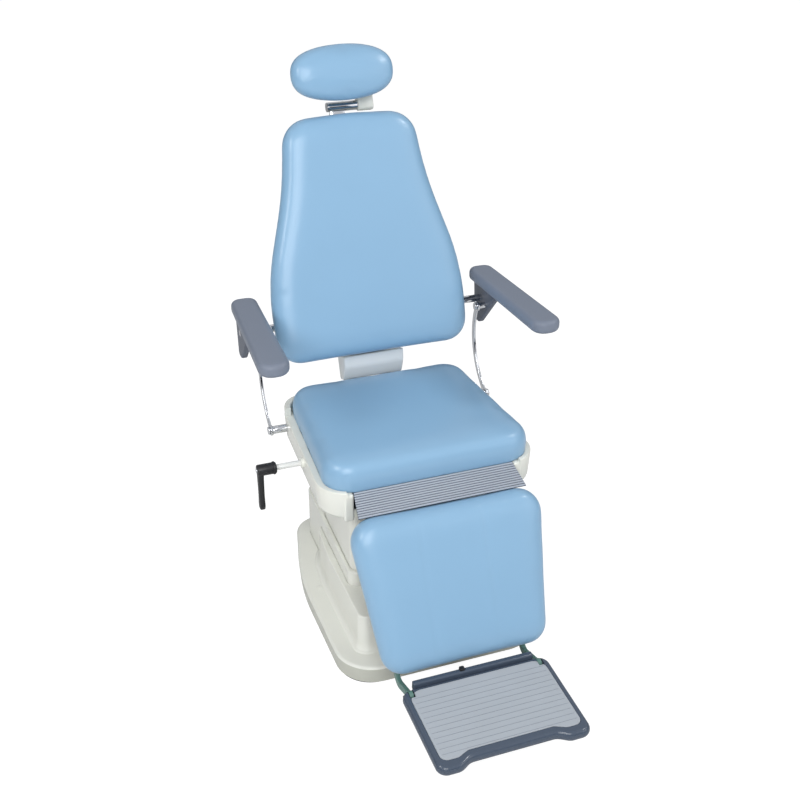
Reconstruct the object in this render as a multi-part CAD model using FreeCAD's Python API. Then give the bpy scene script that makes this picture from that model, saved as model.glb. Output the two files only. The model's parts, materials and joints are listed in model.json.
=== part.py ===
import FreeCAD, Part
import math
import os

os.makedirs("parts", exist_ok=True)
V = FreeCAD.Vector

# The chair faces -Y, +X is the viewer's right and +Z is up. All sizes are in millimetres.
# The origin lies on the floor under the swivel axis.

# Clearances and walls shared by all pieces
fit_gap = 0.05              # shaft or pin in its bore, on the radius
free_gap = 0.3              # pieces that move past each other, and padding next to its board
cover_wall = 4.0            # wall of the moulded covers
least_round = 1.5           # smallest corner that an inset outline keeps
corner_share = 0.45         # most of an edge that one rounded corner may take

# Base on the floor
base_half_width = 256.0
base_front_y = -343.0
base_shoulder_y = 60.0      # where the sides draw in towards the rear
base_rear_half_width = 192.0
base_rear_y = 318.0
base_front_round = 88.0
base_shoulder_round = 800.0
base_rear_round = 75.0
base_plate_thickness = 10.0
skirt_lift = 3.0
skirt_draft = 3.0
skirt_top_z = 40.0
rim_low_inset = 5.0
rim_low_z = 46.0
rim_high_inset = 14.0
rim_high_z = 49.0

# Plinth that the column covers rise from
plinth_half_width = 200.0
plinth_front_y = -278.0
plinth_front_round = 24.0
plinth_shoulder_half_width = 196.0
plinth_shoulder_y = 60.0
plinth_shoulder_round = 300.0
plinth_rear_half_width = 185.0
plinth_rear_y = 296.0
plinth_rear_round = 50.0
plinth_foot_z = 60.0
plinth_top_z = 150.0
plinth_draft = 5.0
plinth_edge = 6.0

# Telescoping column covers
middle_half_width = 186.0
middle_front_y = -158.0
middle_front_round = 24.0
middle_rear_half_width = 172.0
middle_rear_y = 240.0
middle_rear_round = 34.0
middle_foot_z = 25.0
middle_top_z = 190.0
middle_edge = 5.0
upper_half_width = 177.0
upper_front_y = -149.0
upper_front_round = 24.0
upper_rear_half_width = 166.0
upper_rear_y = 150.0
upper_rear_round = 50.0
upper_foot_z = 70.0
cover_slide_gap = 2.0       # between a cover and the opening it slides through
boss_radius = 7.0           # bosses that the middle cover rests on
boss_front_y = -60.0
boss_rear_y = 120.0

# Lift column
column_outer_half = 75.0
column_outer_wall = 6.0
column_outer_top_z = 330.0
column_inner_half = 67.0
column_inner_wall = 5.0
column_inner_foot_z = 60.0
column_top_z = 372.0
guide_pad_half_width = 40.0
guide_pad_height = 55.0
guide_pad_drop = 5.0
actuator_radius = 25.0
actuator_top_z = 300.0
actuator_bore_foot_z = 40.0
lift_rod_radius = 12.0
lift_rod_foot_z = 45.0

# Lift motor, control box and mains inlet
gearbox_half_width = 35.0
gearbox_length = 75.0
gearbox_top_z = 62.0
snout_radius = 15.0
snout_hole_gap = 1.0
snout_z = 35.0
motor_radius = 26.0
motor_length = 90.0
motor_y = 112.0
motor_z = 38.0
control_half_width = 105.0
control_depth = 86.0
control_height = 56.0
control_setback = 20.0      # behind the front of the plinth
inlet_x = -80.0
inlet_z = 22.0
inlet_flange_half_width = 16.0
inlet_flange_half_height = 11.0
inlet_flange_thickness = 2.5
inlet_body_depth = 20.0
inlet_body_margin = 3.0
inlet_recess_margin = 6.0
inlet_recess_depth = 16.0
inlet_pin_radius = 1.5
inlet_pin_length = 11.0
inlet_pin_pitch = 6.0
inlet_pin_rise = 2.5

# Turntable and its brake
turntable_half_depth = 125.0
turntable_plate_thickness = 12.0
turntable_post_radius = 30.0
turntable_post_height = 41.0
turntable_disc_radius = 88.0
turntable_disc_height = 7.7
seat_plate_half = 146.0      # half side of the turntable plates
seat_plate_thickness = 8.0
flange_hole_gap = 7.0
brake_disc_radius = 82.0
brake_disc_thickness = 8.0
brake_shoe_thickness = 8.0
brake_shoe_half_depth = 15.0
brake_shoe_overlap = 18.0   # of the brake disc

# Seat cushion
seat_half_width = 259.0
seat_front_y = -236.0
seat_front_round = 65.0
seat_taper = 29.0           # narrower at the rear, on each side
seat_rear_y = 200.0
seat_rear_round = 60.0
seat_thickness = 66.7
cushion_tuck = 7.0          # how far a cushion draws in where it meets its board
seat_crown = 5.0
seat_crown_inset = 80.0
seat_edge_inset = 26.0
belly_share = 0.4           # height of the widest line of a cushion, of its thickness
edge_steps = 4              # sections over the rounded edge of a cushion
crown_fall = 0.3            # how much of the crown is left to rise halfway in

# Seat pan
pan_margin = 11.0           # pan outside the seat cushion at the sides
pan_front_margin = 8.0
pan_rear_margin = 14.0
pan_taper = 24.0            # narrower at the rear, on each side
pan_front_round = 80.0
pan_rear_round = 62.0
pan_rim_rise = 7.0          # rim above the seat board
pan_rim_depth = 8.0
pan_rim_lap = 2.0           # rim under the side of the seat cushion
pan_band_height = 66.0
pan_band_inset = 4.0
pan_break_drop = 4.0
pan_break_inset = 12.0
pan_floor_inset = 40.0
pan_floor_hole_gap = 4.0
pan_notch_setback = 55.0    # inside the side of the seat cushion
pan_notch_y = -198.0
pan_post_width = 28.0
pan_post_front_y = -238.0
pan_rear_notch_half_width = 100.0
pan_rear_notch_y = 158.0
pan_ear_height = 18.0
pan_ear_front_y = 150.0
pan_ear_inner_x = 105.0

# Seat frame inside the pan
rail_setback = 105.0        # inside the side of the seat cushion
rail_width = 36.0
rail_height = 42.0
rail_wall = 3.0
rail_rear_y = 150.0
cross_bar_overhang = 4.0    # past the rails
cross_bar_height = 21.0
cross_bar_width = 36.0
cross_bar_front_y = -158.0
cross_bar_rear_y = 70.0
seat_board_inset = 16.0
seat_board_thickness = 8.0
seat_board_notch_half_width = 84.0
seat_board_notch_y = 148.0

# Backrest hinge and drive
back_hinge_y = 180.0
back_hub_radius = 18.0
back_hub_clear = 2.0        # hub under the top of the seat board
back_shaft_radius = 12.0
back_shaft_half_length = 80.0
back_bracket_x = 62.0
back_bracket_thickness = 12.0
back_bracket_foot = 80.0
back_bracket_foot_end = 16.0
back_drive_half_width = 34.0
back_drive_front_gap = 4.0  # behind the rear cross bar
back_drive_rear_y = 160.0
back_drive_height = 48.0
back_nose_radius = 17.0
back_nose_drop = 15.0
eye_share = 0.7             # corner of a bracket plate inside its eye, of the eye radius

# Legrest hinge and drive
legrest_hinge_setback = 3.0  # behind the front of the pan
legrest_hinge_rise = 11.0    # above the pan floor
legrest_shaft_radius = 10.0
legrest_shaft_overhang = 6.0  # past its brackets
legrest_bracket_thickness = 16.0
legrest_bracket_eye = 19.0
legrest_drive_half_width = 55.0
legrest_drive_depth = 62.0
legrest_drive_height = 40.0
legrest_nose_radius = 18.0
legrest_nose_drop = 9.0

# Knee bellows
bellows_side_gap = 2.0       # beside the front posts
bellows_top_y = -230.0
bellows_top_rise = 1.0       # above the seat board
bellows_pleats = 11
bellows_depth = 4.0
bellows_sheet = 1.6
bellows_clear = 3.0          # above the top edge of the legrest
bellows_end_depth = 24.0     # behind the face of the legrest
bellows_flange_drop = 3.0
bellows_flange_thickness = 3.0

# Swivel lock
lock_rod_radius = 7.0
lock_rod_y = -45.0
lock_rod_rise = 12.0         # above the rails
lock_rod_reach = 76.0        # out of the side of the pan
lock_rod_inner_x = -60.0
lock_cam_outer_x = -88.0
lock_cam_inner_x = -68.0
lock_cam_gap = 0.5
lock_bush_radius = 12.0
lock_bush_setback = 3.0      # inside the widest line of the pan
lock_bush_length = 30.0
lock_block_half_depth = 13.0
lock_block_height = 20.0
lever_hub_radius = 14.0
lever_hub_reach = 102.0      # out of the side of the pan
lever_hub_length = 46.0
lever_arm_width = 14.0
lever_arm_length = 106.0
lever_arm_root = 11.0
lever_arm_tip = 8.0

# Backrest: its own frame has s up the face and n out of the face
back_tilt = 20.0
back_edge_setback = 26.0
back_edge_rise = 161.0
back_half_width_low = 251.0
back_low_s = -7.0
back_low_round = 60.0
back_half_width_wide = 257.0
back_wide_s = 190.0
back_wide_round = 600.0
back_half_width_shoulder = 190.0
back_shoulder_s = 415.0
back_shoulder_round = 900.0
back_half_width_top = 166.0
back_top_s = 582.0
back_top_round = 48.0
back_peak_rise = 10.0
back_peak_round = 700.0
back_thickness = 60.0
back_front_n = 6.0
back_crown = 5.0
back_crown_inset = 62.0
back_edge_inset = 24.0
back_board_thickness = 8.0
back_shell_inset = 16.0
shell_side_inset = 18.0
shell_side_depth = 27.0
shell_break_inset = 30.0
shell_break_depth = 51.0
shell_floor_inset = 55.0
shell_floor_depth = 59.0
shell_notch_half_width = 60.0
shell_notch_height = 60.0
shell_hole_gap = 1.0

# Backrest spine and its cover
spine_half_width = 45.0
spine_low_s = -45.0
spine_top_s = 430.0
spine_front_depth = 28.0     # behind the back board
spine_depth = 26.0
spine_wall = 3.0
yoke_x = 40.0
yoke_thickness = 14.0
yoke_top_s = -10.0
yoke_front_step = 7.0
yoke_depth = 23.0
yoke_heel = 12.0
yoke_step_rise = 22.0        # bend of the yoke above the hinge
spine_cover_half_width = 80.0
spine_cover_low_s = -74.0
spine_cover_top_s = -10.0
spine_cover_low_n = -92.0
spine_cover_top_n = -60.0
saddle_inner_x = 30.0
saddle_half_height = 18.0

# Armrests and their level links
armrest_shaft_radius = 9.5
armrest_shaft_s = 88.0
armrest_shaft_depth = 10.0   # behind the back board
armrest_side_gap = 6.0       # beside the backrest, where it is the widest piece
armrest_bracket_gap = 43.0   # from the widest side of pan and back
armrest_bracket_thickness = 16.0
bracket_tip_setback = 117.0
bracket_heel_drop = 70.0
bracket_heel_front = 2.0
bracket_heel_rear = 26.0
bracket_top_rear = 40.0
bracket_tip_round = 10.0
bracket_heel_round = 13.0
pad_foot_rise = 50.0         # underside of the pad above its pivot
pad_thickness = 38.0
pad_half_width = 35.0
pad_rear_gap = 43.0          # from the widest side to the middle of the pad
pad_front_gap = 51.0
pad_rear_reach = 12.0
pad_front_reach = 380.0
pad_end_round = 30.0
pad_edge = 10.0
link_stud_y_step = -41.0
link_stud_z_step = -4.0
link_gap = 17.0              # from the widest side of pan and back
link_thickness = 6.0
link_width = 16.0
link_eye_radius = 13.0
link_bow = 45.0
pan_stud_radius = 10.0
pan_stud_root = 37.0         # inside the side of the pan
pan_stud_neck_radius = 7.0
arm_stud_radius = 8.0
arm_stud_neck_radius = 6.0
stud_head_radius = 10.0
stud_head_thickness = 5.0

# Headrest
socket_wall = 7.0
socket_low_drop = 198.0      # under the top of the backrest
socket_top_drop = 42.0
post_left_x = -30.0
post_right_x = 18.0
post_thickness = 8.0
post_low_drop = 188.0
post_notch_radius = 9.0
post_notch_drop = 13.0
tube_rise = 15.5             # above the top of the backrest
tube_n = -75.0
tube_radius = 13.5
tube_left_x = -34.0
tube_right_x = 42.0
hinge_pin_radius = 8.0
hinge_pin_cap = 2.0
headrest_arm_width = 40.7
headrest_arm_low = 14.5
headrest_arm_half_depth = 13.5
headrest_arm_top_rise = 92.0
headrest_arm_rear_n = -90.0
headrest_shell_low_half_width = 88.0
headrest_shell_low_rise = 42.0
headrest_shell_top_half_width = 80.0
headrest_shell_top_rise = 139.0
headrest_shell_round = 22.0
headrest_shell_depth = 17.7
headrest_shell_edge = 6.0
headrest_half_width = 129.0
headrest_low_rise = 36.0
headrest_top_rise = 146.0
headrest_bulge = 10.0        # how far its long edges bow out
headrest_round = 58.0
headrest_bulge_round = 500.0
headrest_front_n = 8.0
headrest_crown = 5.0
headrest_crown_inset = 44.0
headrest_edge_inset = 24.0

# Legrest: its own frame has s up the face and n out of the face
leg_tilt = 26.0
leg_edge_forward = 75.0
leg_edge_rise = 38.5
leg_taper = 40.0             # narrower at the foot, on each side
leg_low_s = -366.0
leg_low_round = 52.0
leg_top_setback = 19.0       # inside the side of the seat cushion
leg_top_round = 58.0
leg_thickness = 66.0
leg_front_n = 6.0
leg_crown = 4.0
leg_crown_inset = 60.0
leg_edge_inset = 24.0
leg_channel_x = 78.0
leg_channel_radius = 24.0
leg_channel_depth = 1.6
leg_board_thickness = 11.7
leg_board_low_setback = 19.0  # inside the side of the cushion
leg_board_low_s = -350.0
leg_board_top_setback = 30.0
leg_board_top_s = -36.0
leg_board_round = 25.0
leg_frame_setback = 2.0      # inside the hinge brackets
leg_frame_low_s = -345.0
leg_frame_top_s = -44.0
leg_frame_thickness = 6.0
leg_arm_gap = 3.0            # beside the hinge bracket
leg_arm_width = 24.0
leg_arm_half_depth = 12.0
leg_arm_low_s = -140.0
leg_hub_radius = 17.0

# Footrest and the brackets that carry it
foot_bracket_thickness = 10.0
foot_bracket_width = 16.0
foot_bracket_top_s = -320.0
foot_bracket_bend_s = -395.0
foot_bracket_round = 16.0
foot_bracket_eye = 12.0
foot_pivot_s = -406.5
foot_pivot_n = 4.2
foot_setback = 21.0          # inside the foot of the legrest
foot_length = 240.0
foot_rear_reach = 12.0       # behind its pivot
foot_front_round = 45.0
foot_rear_round = 12.0
foot_lobe_low = 86.0         # each front lobe across, at the foot of the notch
foot_lobe_top = 66.0
foot_notch_depth = 16.0
foot_notch_round = 22.0
foot_thickness = 26.0
foot_top_rise = 13.0         # above its pivot
foot_edge = 8.0
foot_slope = 3.5
mat_margin = 15.0
mat_front_margin = 24.0
mat_notch_depth = 10.0
mat_rear_margin = 12.0
mat_round = 14.0
mat_thickness = 4.0
mat_recess = 3.5
foot_slot_gap = 2.0
foot_slot_depth = 30.0
foot_bolt_radius = 5.0
foot_bolt_overhang = 12.0
foot_stop_half_width = 9.0
foot_stop_depth = 14.0
foot_stop_height = 16.0

# Places across the chair that follow from its width
pan_half_width = seat_half_width + pan_margin
seat_rear_half_width = seat_half_width - seat_taper
pan_notch_half_width = seat_half_width - pan_notch_setback
bellows_half_width = pan_notch_half_width - bellows_side_gap
rail_inner_x = seat_half_width - rail_setback
cross_bar_half_length = rail_inner_x + rail_width + cross_bar_overhang
legrest_shaft_half_length = rail_inner_x + legrest_bracket_thickness + legrest_shaft_overhang
leg_arm_inner_x = rail_inner_x - leg_arm_gap - leg_arm_width
leg_half_width_top = seat_half_width - leg_top_setback
leg_half_width_low = leg_half_width_top - leg_taper
leg_board_half_width_low = leg_half_width_low - leg_board_low_setback
leg_board_half_width_top = leg_half_width_top - leg_board_top_setback
leg_frame_half_width = rail_inner_x - leg_frame_setback
foot_half_width = leg_half_width_low - foot_setback
foot_notch_half_width = foot_half_width - foot_lobe_low
foot_notch_top = foot_half_width - foot_lobe_top
widest_side_x = max(pan_half_width, back_half_width_wide + armrest_side_gap)
lock_rod_outer_x = -pan_half_width - lock_rod_reach
lock_bush_outer_x = -pan_half_width + lock_bush_setback
lock_bush_inner_x = lock_bush_outer_x + lock_bush_length
lever_hub_outer_x = -pan_half_width - lever_hub_reach
lever_hub_inner_x = lever_hub_outer_x + lever_hub_length
pan_stud_inner_x = pan_half_width - pan_stud_root
link_inner_x = widest_side_x + link_gap
armrest_bracket_x = widest_side_x + armrest_bracket_gap
pad_rear_x = widest_side_x + pad_rear_gap
pad_front_x = widest_side_x + pad_front_gap

# Places up the backrest that follow from its top
back_peak_s = back_top_s + back_peak_rise
socket_low_s = back_peak_s - socket_low_drop
socket_top_s = back_peak_s - socket_top_drop
post_low_s = back_peak_s - post_low_drop
tube_s = back_peak_s + tube_rise
headrest_arm_top_s = back_peak_s + headrest_arm_top_rise
headrest_shell_low_s = back_peak_s + headrest_shell_low_rise
headrest_shell_top_s = back_peak_s + headrest_shell_top_rise
headrest_low_s = back_peak_s + headrest_low_rise
headrest_top_s = back_peak_s + headrest_top_rise

# Heights that follow from the stack of pieces
turntable_plate_top = column_top_z + turntable_plate_thickness
turntable_disc_foot = turntable_plate_top + free_gap
seat_plate_foot = turntable_disc_foot + turntable_disc_height
pan_foot_z = seat_plate_foot + seat_plate_thickness
pan_floor_top = pan_foot_z + cover_wall
rail_top_z = pan_floor_top + rail_height
cross_bar_top_z = rail_top_z + cross_bar_height
seat_board_top = cross_bar_top_z + seat_board_thickness
seat_foot_z = seat_board_top + free_gap
pan_rim_z = seat_board_top + pan_rim_rise
turntable_post_top = turntable_plate_top + turntable_post_height
brake_disc_top = turntable_post_top + brake_disc_thickness
brake_shoe_foot = brake_disc_top + free_gap
lock_rod_z = rail_top_z + lock_rod_rise
back_hinge_z = seat_board_top - back_hub_radius - back_hub_clear
back_edge_y = back_hinge_y - back_edge_setback
back_edge_z = back_hinge_z + back_edge_rise

# Hinge and edge of the legrest
pan_front_y = seat_front_y - pan_front_margin
legrest_hinge_y = pan_front_y + legrest_hinge_setback
legrest_hinge_z = pan_floor_top + legrest_hinge_rise
leg_edge_y = legrest_hinge_y - leg_edge_forward
leg_edge_z = legrest_hinge_z + leg_edge_rise

# Rear wall of the base where the mains inlet sits
inlet_top_z = inlet_z + inlet_flange_half_height
inlet_face_y = base_rear_y - skirt_draft * (skirt_top_z - inlet_top_z) / (skirt_top_z - skirt_lift)

# Planes behind the cushions, in the frame of the backrest or of the legrest
back_cushion_rear = back_front_n - back_thickness
back_board_front = back_cushion_rear - free_gap
back_board_rear = back_board_front - back_board_thickness
spine_front_n = back_board_rear - spine_front_depth
spine_rear_n = spine_front_n - spine_depth
leg_cushion_rear = leg_front_n - leg_thickness
leg_board_front = leg_cushion_rear - free_gap
leg_board_rear = leg_board_front - leg_board_thickness
leg_frame_rear = leg_board_rear - leg_frame_thickness
headrest_shell_rear = back_board_front - headrest_shell_depth


def box(x0, x1, y0, y1, z0, z1):
    """Block between two opposite corners."""
    return Part.makeBox(x1 - x0, y1 - y0, z1 - z0, V(x0, y0, z0))


def bar_x(radius, x0, x1, y, z):
    """Round bar along X."""
    return Part.makeCylinder(radius, x1 - x0, V(x0, y, z), V(1, 0, 0))


def bar_y(radius, y0, y1, x, z):
    """Round bar along Y."""
    return Part.makeCylinder(radius, y1 - y0, V(x, y0, z), V(0, 1, 0))


def bar_z(radius, z0, z1, x=0.0, y=0.0):
    """Round bar along Z."""
    return Part.makeCylinder(radius, z1 - z0, V(x, y, z0), V(0, 0, 1))


def mirrored(shape):
    """The same piece on the other side of the chair."""
    return shape.mirror(V(0, 0, 0), V(1, 0, 0))


def round_corner(before, corner, after, radius):
    """Start, middle and end of the arc that rounds one corner."""
    to_before = before - corner
    to_after = after - corner
    longest = corner_share * min(to_before.Length, to_after.Length)
    half_angle = to_before.getAngle(to_after) / 2
    to_before.normalize()
    to_after.normalize()
    tangent = min(radius / math.tan(half_angle), longest)
    radius = tangent * math.tan(half_angle)
    bisector = to_before + to_after
    bisector.normalize()
    middle = corner + bisector * (radius / math.sin(half_angle) - radius)
    return corner + to_before * tangent, middle, corner + to_after * tangent


def outline(corners, place):
    """Closed wire of lines and arcs through corners given as (u, v, radius)."""
    points = [V(u, v, 0) for u, v, radius in corners]
    count = len(points)
    arcs = []
    for index in range(count):
        radius = corners[index][2]
        after = points[(index + 1) % count]
        if radius > 0:
            arcs.append(round_corner(points[index - 1], points[index], after, radius))
        else:
            arcs.append((points[index],))
    edges = []
    for index in range(count):
        arc = arcs[index]
        if len(arc) > 1:
            edges.append(Part.Arc(*[place(point) for point in arc]).toShape())
        edges.append(Part.makeLine(place(arc[-1]), place(arcs[(index + 1) % count][0])))
    return Part.Wire(edges)


def level(height):
    """Places outline points in a flat plane at a height."""
    return lambda point: V(point.x, point.y, height)


def upright(x):
    """Places outline points in the plane across X."""
    return lambda point: V(x, point.x, point.y)


def inset(corners, distance):
    """Outline drawn in by a distance; a negative distance grows it."""
    moved = []
    count = len(corners)
    for index in range(count):
        u, v, radius = corners[index]
        before = V(u - corners[index - 1][0], v - corners[index - 1][1], 0)
        after = V(corners[(index + 1) % count][0] - u, corners[(index + 1) % count][1] - v, 0)
        before.normalize()
        after.normalize()
        normals = V(-before.y - after.y, before.x + after.x, 0)
        shift = normals * (distance / (1 + before.dot(after)))
        outward_turn = before.x * after.y - before.y * after.x >= 0
        kept = radius - distance if outward_turn else radius + distance
        moved.append((u + shift.x, v + shift.y, max(kept, least_round)))
    return moved


def both_sides(right_half):
    """Full outline from its right half, listed from low to high."""
    left_half = [(-u, v, radius) for u, v, radius in reversed(right_half) if u > 0]
    return right_half + left_half


def prism(corners, z0, z1):
    """Outline pulled up between two heights."""
    return Part.Face(outline(corners, level(z0))).extrude(V(0, 0, z1 - z0))


def plate_x(corners, x0, x1):
    """Outline in (y, z), or in (s, n), pulled out between two X positions."""
    return Part.Face(outline(corners, upright(x0))).extrude(V(x1 - x0, 0, 0))


def stacked(sections):
    """Solid through flat outlines given as (corners, height)."""
    wires = [outline(corners, level(height)) for corners, height in sections]
    solid = Part.makeLoft(wires, True, True)
    if solid.Volume < 0:
        solid.reverse()
    return solid


def rounded_slab(corners, z0, z1, edge):
    """Slab with softened edges."""
    soft = edge * (1 - math.sqrt(0.5))
    sections = [(inset(corners, edge), z0), (inset(corners, soft), z0 + soft), (corners, z0 + edge)]
    sections += [(corners, z1 - edge), (inset(corners, soft), z1 - soft), (inset(corners, edge), z1)]
    return stacked(sections)


def cushion(corners, foot, top, edge_inset, crown, crown_inset):
    """Padded piece: drawn in at its board, widest at its belly, rounded over to a crowned face."""
    belly = foot + (top - foot) * belly_share
    shoulder = top - crown
    sections = [(inset(corners, cushion_tuck), foot), (corners, belly)]
    for step in range(1, edge_steps + 1):
        turn = math.radians(90 * step / edge_steps)
        drawn_in = edge_inset * (1 - math.cos(turn))
        sections.append((inset(corners, drawn_in), belly + (shoulder - belly) * math.sin(turn)))
    sections.append((inset(corners, (edge_inset + crown_inset) / 2), top - crown * crown_fall))
    sections.append((inset(corners, crown_inset), top))
    return stacked(sections)


def hollow_box(x0, x1, y0, y1, z0, z1, wall):
    """Rectangular tube along Y."""
    return box(x0, x1, y0, y1, z0, z1).cut(box(x0 + wall, x1 - wall, y0, y1, z0 + wall, z1 - wall))


def leaned(shape, edge_y, edge_z, tilt):
    """Stands a piece drawn in (x, s, n) at its leaning place on the chair."""
    turned = FreeCAD.Placement(V(0, edge_y, edge_z), FreeCAD.Rotation(V(1, 0, 0), 90 - tilt))
    placed = shape.copy()
    placed.Placement = turned.multiply(placed.Placement)
    return placed


def on_back(shape):
    """Piece drawn in the frame of the backrest."""
    return leaned(shape, back_edge_y, back_edge_z, back_tilt)


def on_leg(shape):
    """Piece drawn in the frame of the legrest."""
    return leaned(shape, leg_edge_y, leg_edge_z, leg_tilt)


def leaned_point(s, n, edge_y, edge_z, tilt):
    """Chair position (y, z) of a point of a leaning frame."""
    angle = math.radians(tilt)
    y = edge_y + s * math.sin(angle) - n * math.cos(angle)
    z = edge_z + s * math.cos(angle) + n * math.sin(angle)
    return y, z


def upright_point(y, z, edge_y, edge_z, tilt):
    """Leaning-frame position (s, n) of a chair point."""
    angle = math.radians(tilt)
    s = (y - edge_y) * math.sin(angle) + (z - edge_z) * math.cos(angle)
    n = (z - edge_z) * math.sin(angle) - (y - edge_y) * math.cos(angle)
    return s, n


# Outlines that several pieces share
base_corners = both_sides([
    (base_half_width, base_front_y, base_front_round),
    (base_half_width, base_shoulder_y, base_shoulder_round),
    (base_rear_half_width, base_rear_y, base_rear_round)])
plinth_corners = both_sides([
    (plinth_half_width, plinth_front_y, plinth_front_round),
    (plinth_shoulder_half_width, plinth_shoulder_y, plinth_shoulder_round),
    (plinth_rear_half_width, plinth_rear_y, plinth_rear_round)])
middle_corners = both_sides([
    (middle_half_width, middle_front_y, middle_front_round),
    (middle_rear_half_width, middle_rear_y, middle_rear_round)])
upper_corners = both_sides([
    (upper_half_width, upper_front_y, upper_front_round),
    (upper_rear_half_width, upper_rear_y, upper_rear_round)])
seat_corners = both_sides([
    (seat_half_width, seat_front_y, seat_front_round),
    (seat_rear_half_width, seat_rear_y, seat_rear_round)])
pan_corners = both_sides([
    (pan_half_width, pan_front_y, pan_front_round),
    (pan_half_width - pan_taper, seat_rear_y + pan_rear_margin, pan_rear_round)])
back_corners = both_sides([
    (back_half_width_low, back_low_s, back_low_round),
    (back_half_width_wide, back_wide_s, back_wide_round),
    (back_half_width_shoulder, back_shoulder_s, back_shoulder_round),
    (back_half_width_top, back_top_s, back_top_round),
    (0.0, back_peak_s, back_peak_round)])
headrest_corners = both_sides([
    (0.0, headrest_low_s - headrest_bulge, headrest_bulge_round),
    (headrest_half_width, headrest_low_s, headrest_round),
    (headrest_half_width, headrest_top_s, headrest_round),
    (0.0, headrest_top_s + headrest_bulge, headrest_bulge_round)])
leg_corners = both_sides([
    (leg_half_width_low, leg_low_s, leg_low_round),
    (leg_half_width_top, 0.0, leg_top_round)])

# Pivots in chair positions (y, z)
armrest_shaft_n = back_board_rear - armrest_shaft_depth
arm_pivot_y, arm_pivot_z = leaned_point(armrest_shaft_s, armrest_shaft_n, back_edge_y, back_edge_z, back_tilt)
pan_stud_y = back_hinge_y + link_stud_y_step
pan_stud_z = back_hinge_z + link_stud_z_step
arm_stud_y = pan_stud_y + arm_pivot_y - back_hinge_y
arm_stud_z = pan_stud_z + arm_pivot_z - back_hinge_z
foot_pivot_y, foot_pivot_z = leaned_point(foot_pivot_s, foot_pivot_n, leg_edge_y, leg_edge_z, leg_tilt)
legrest_hinge_s, legrest_hinge_n = upright_point(
    legrest_hinge_y, legrest_hinge_z, leg_edge_y, leg_edge_z, leg_tilt)
back_hinge_s, back_hinge_n = upright_point(back_hinge_y, back_hinge_z, back_edge_y, back_edge_z, back_tilt)
pieces = {}


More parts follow.
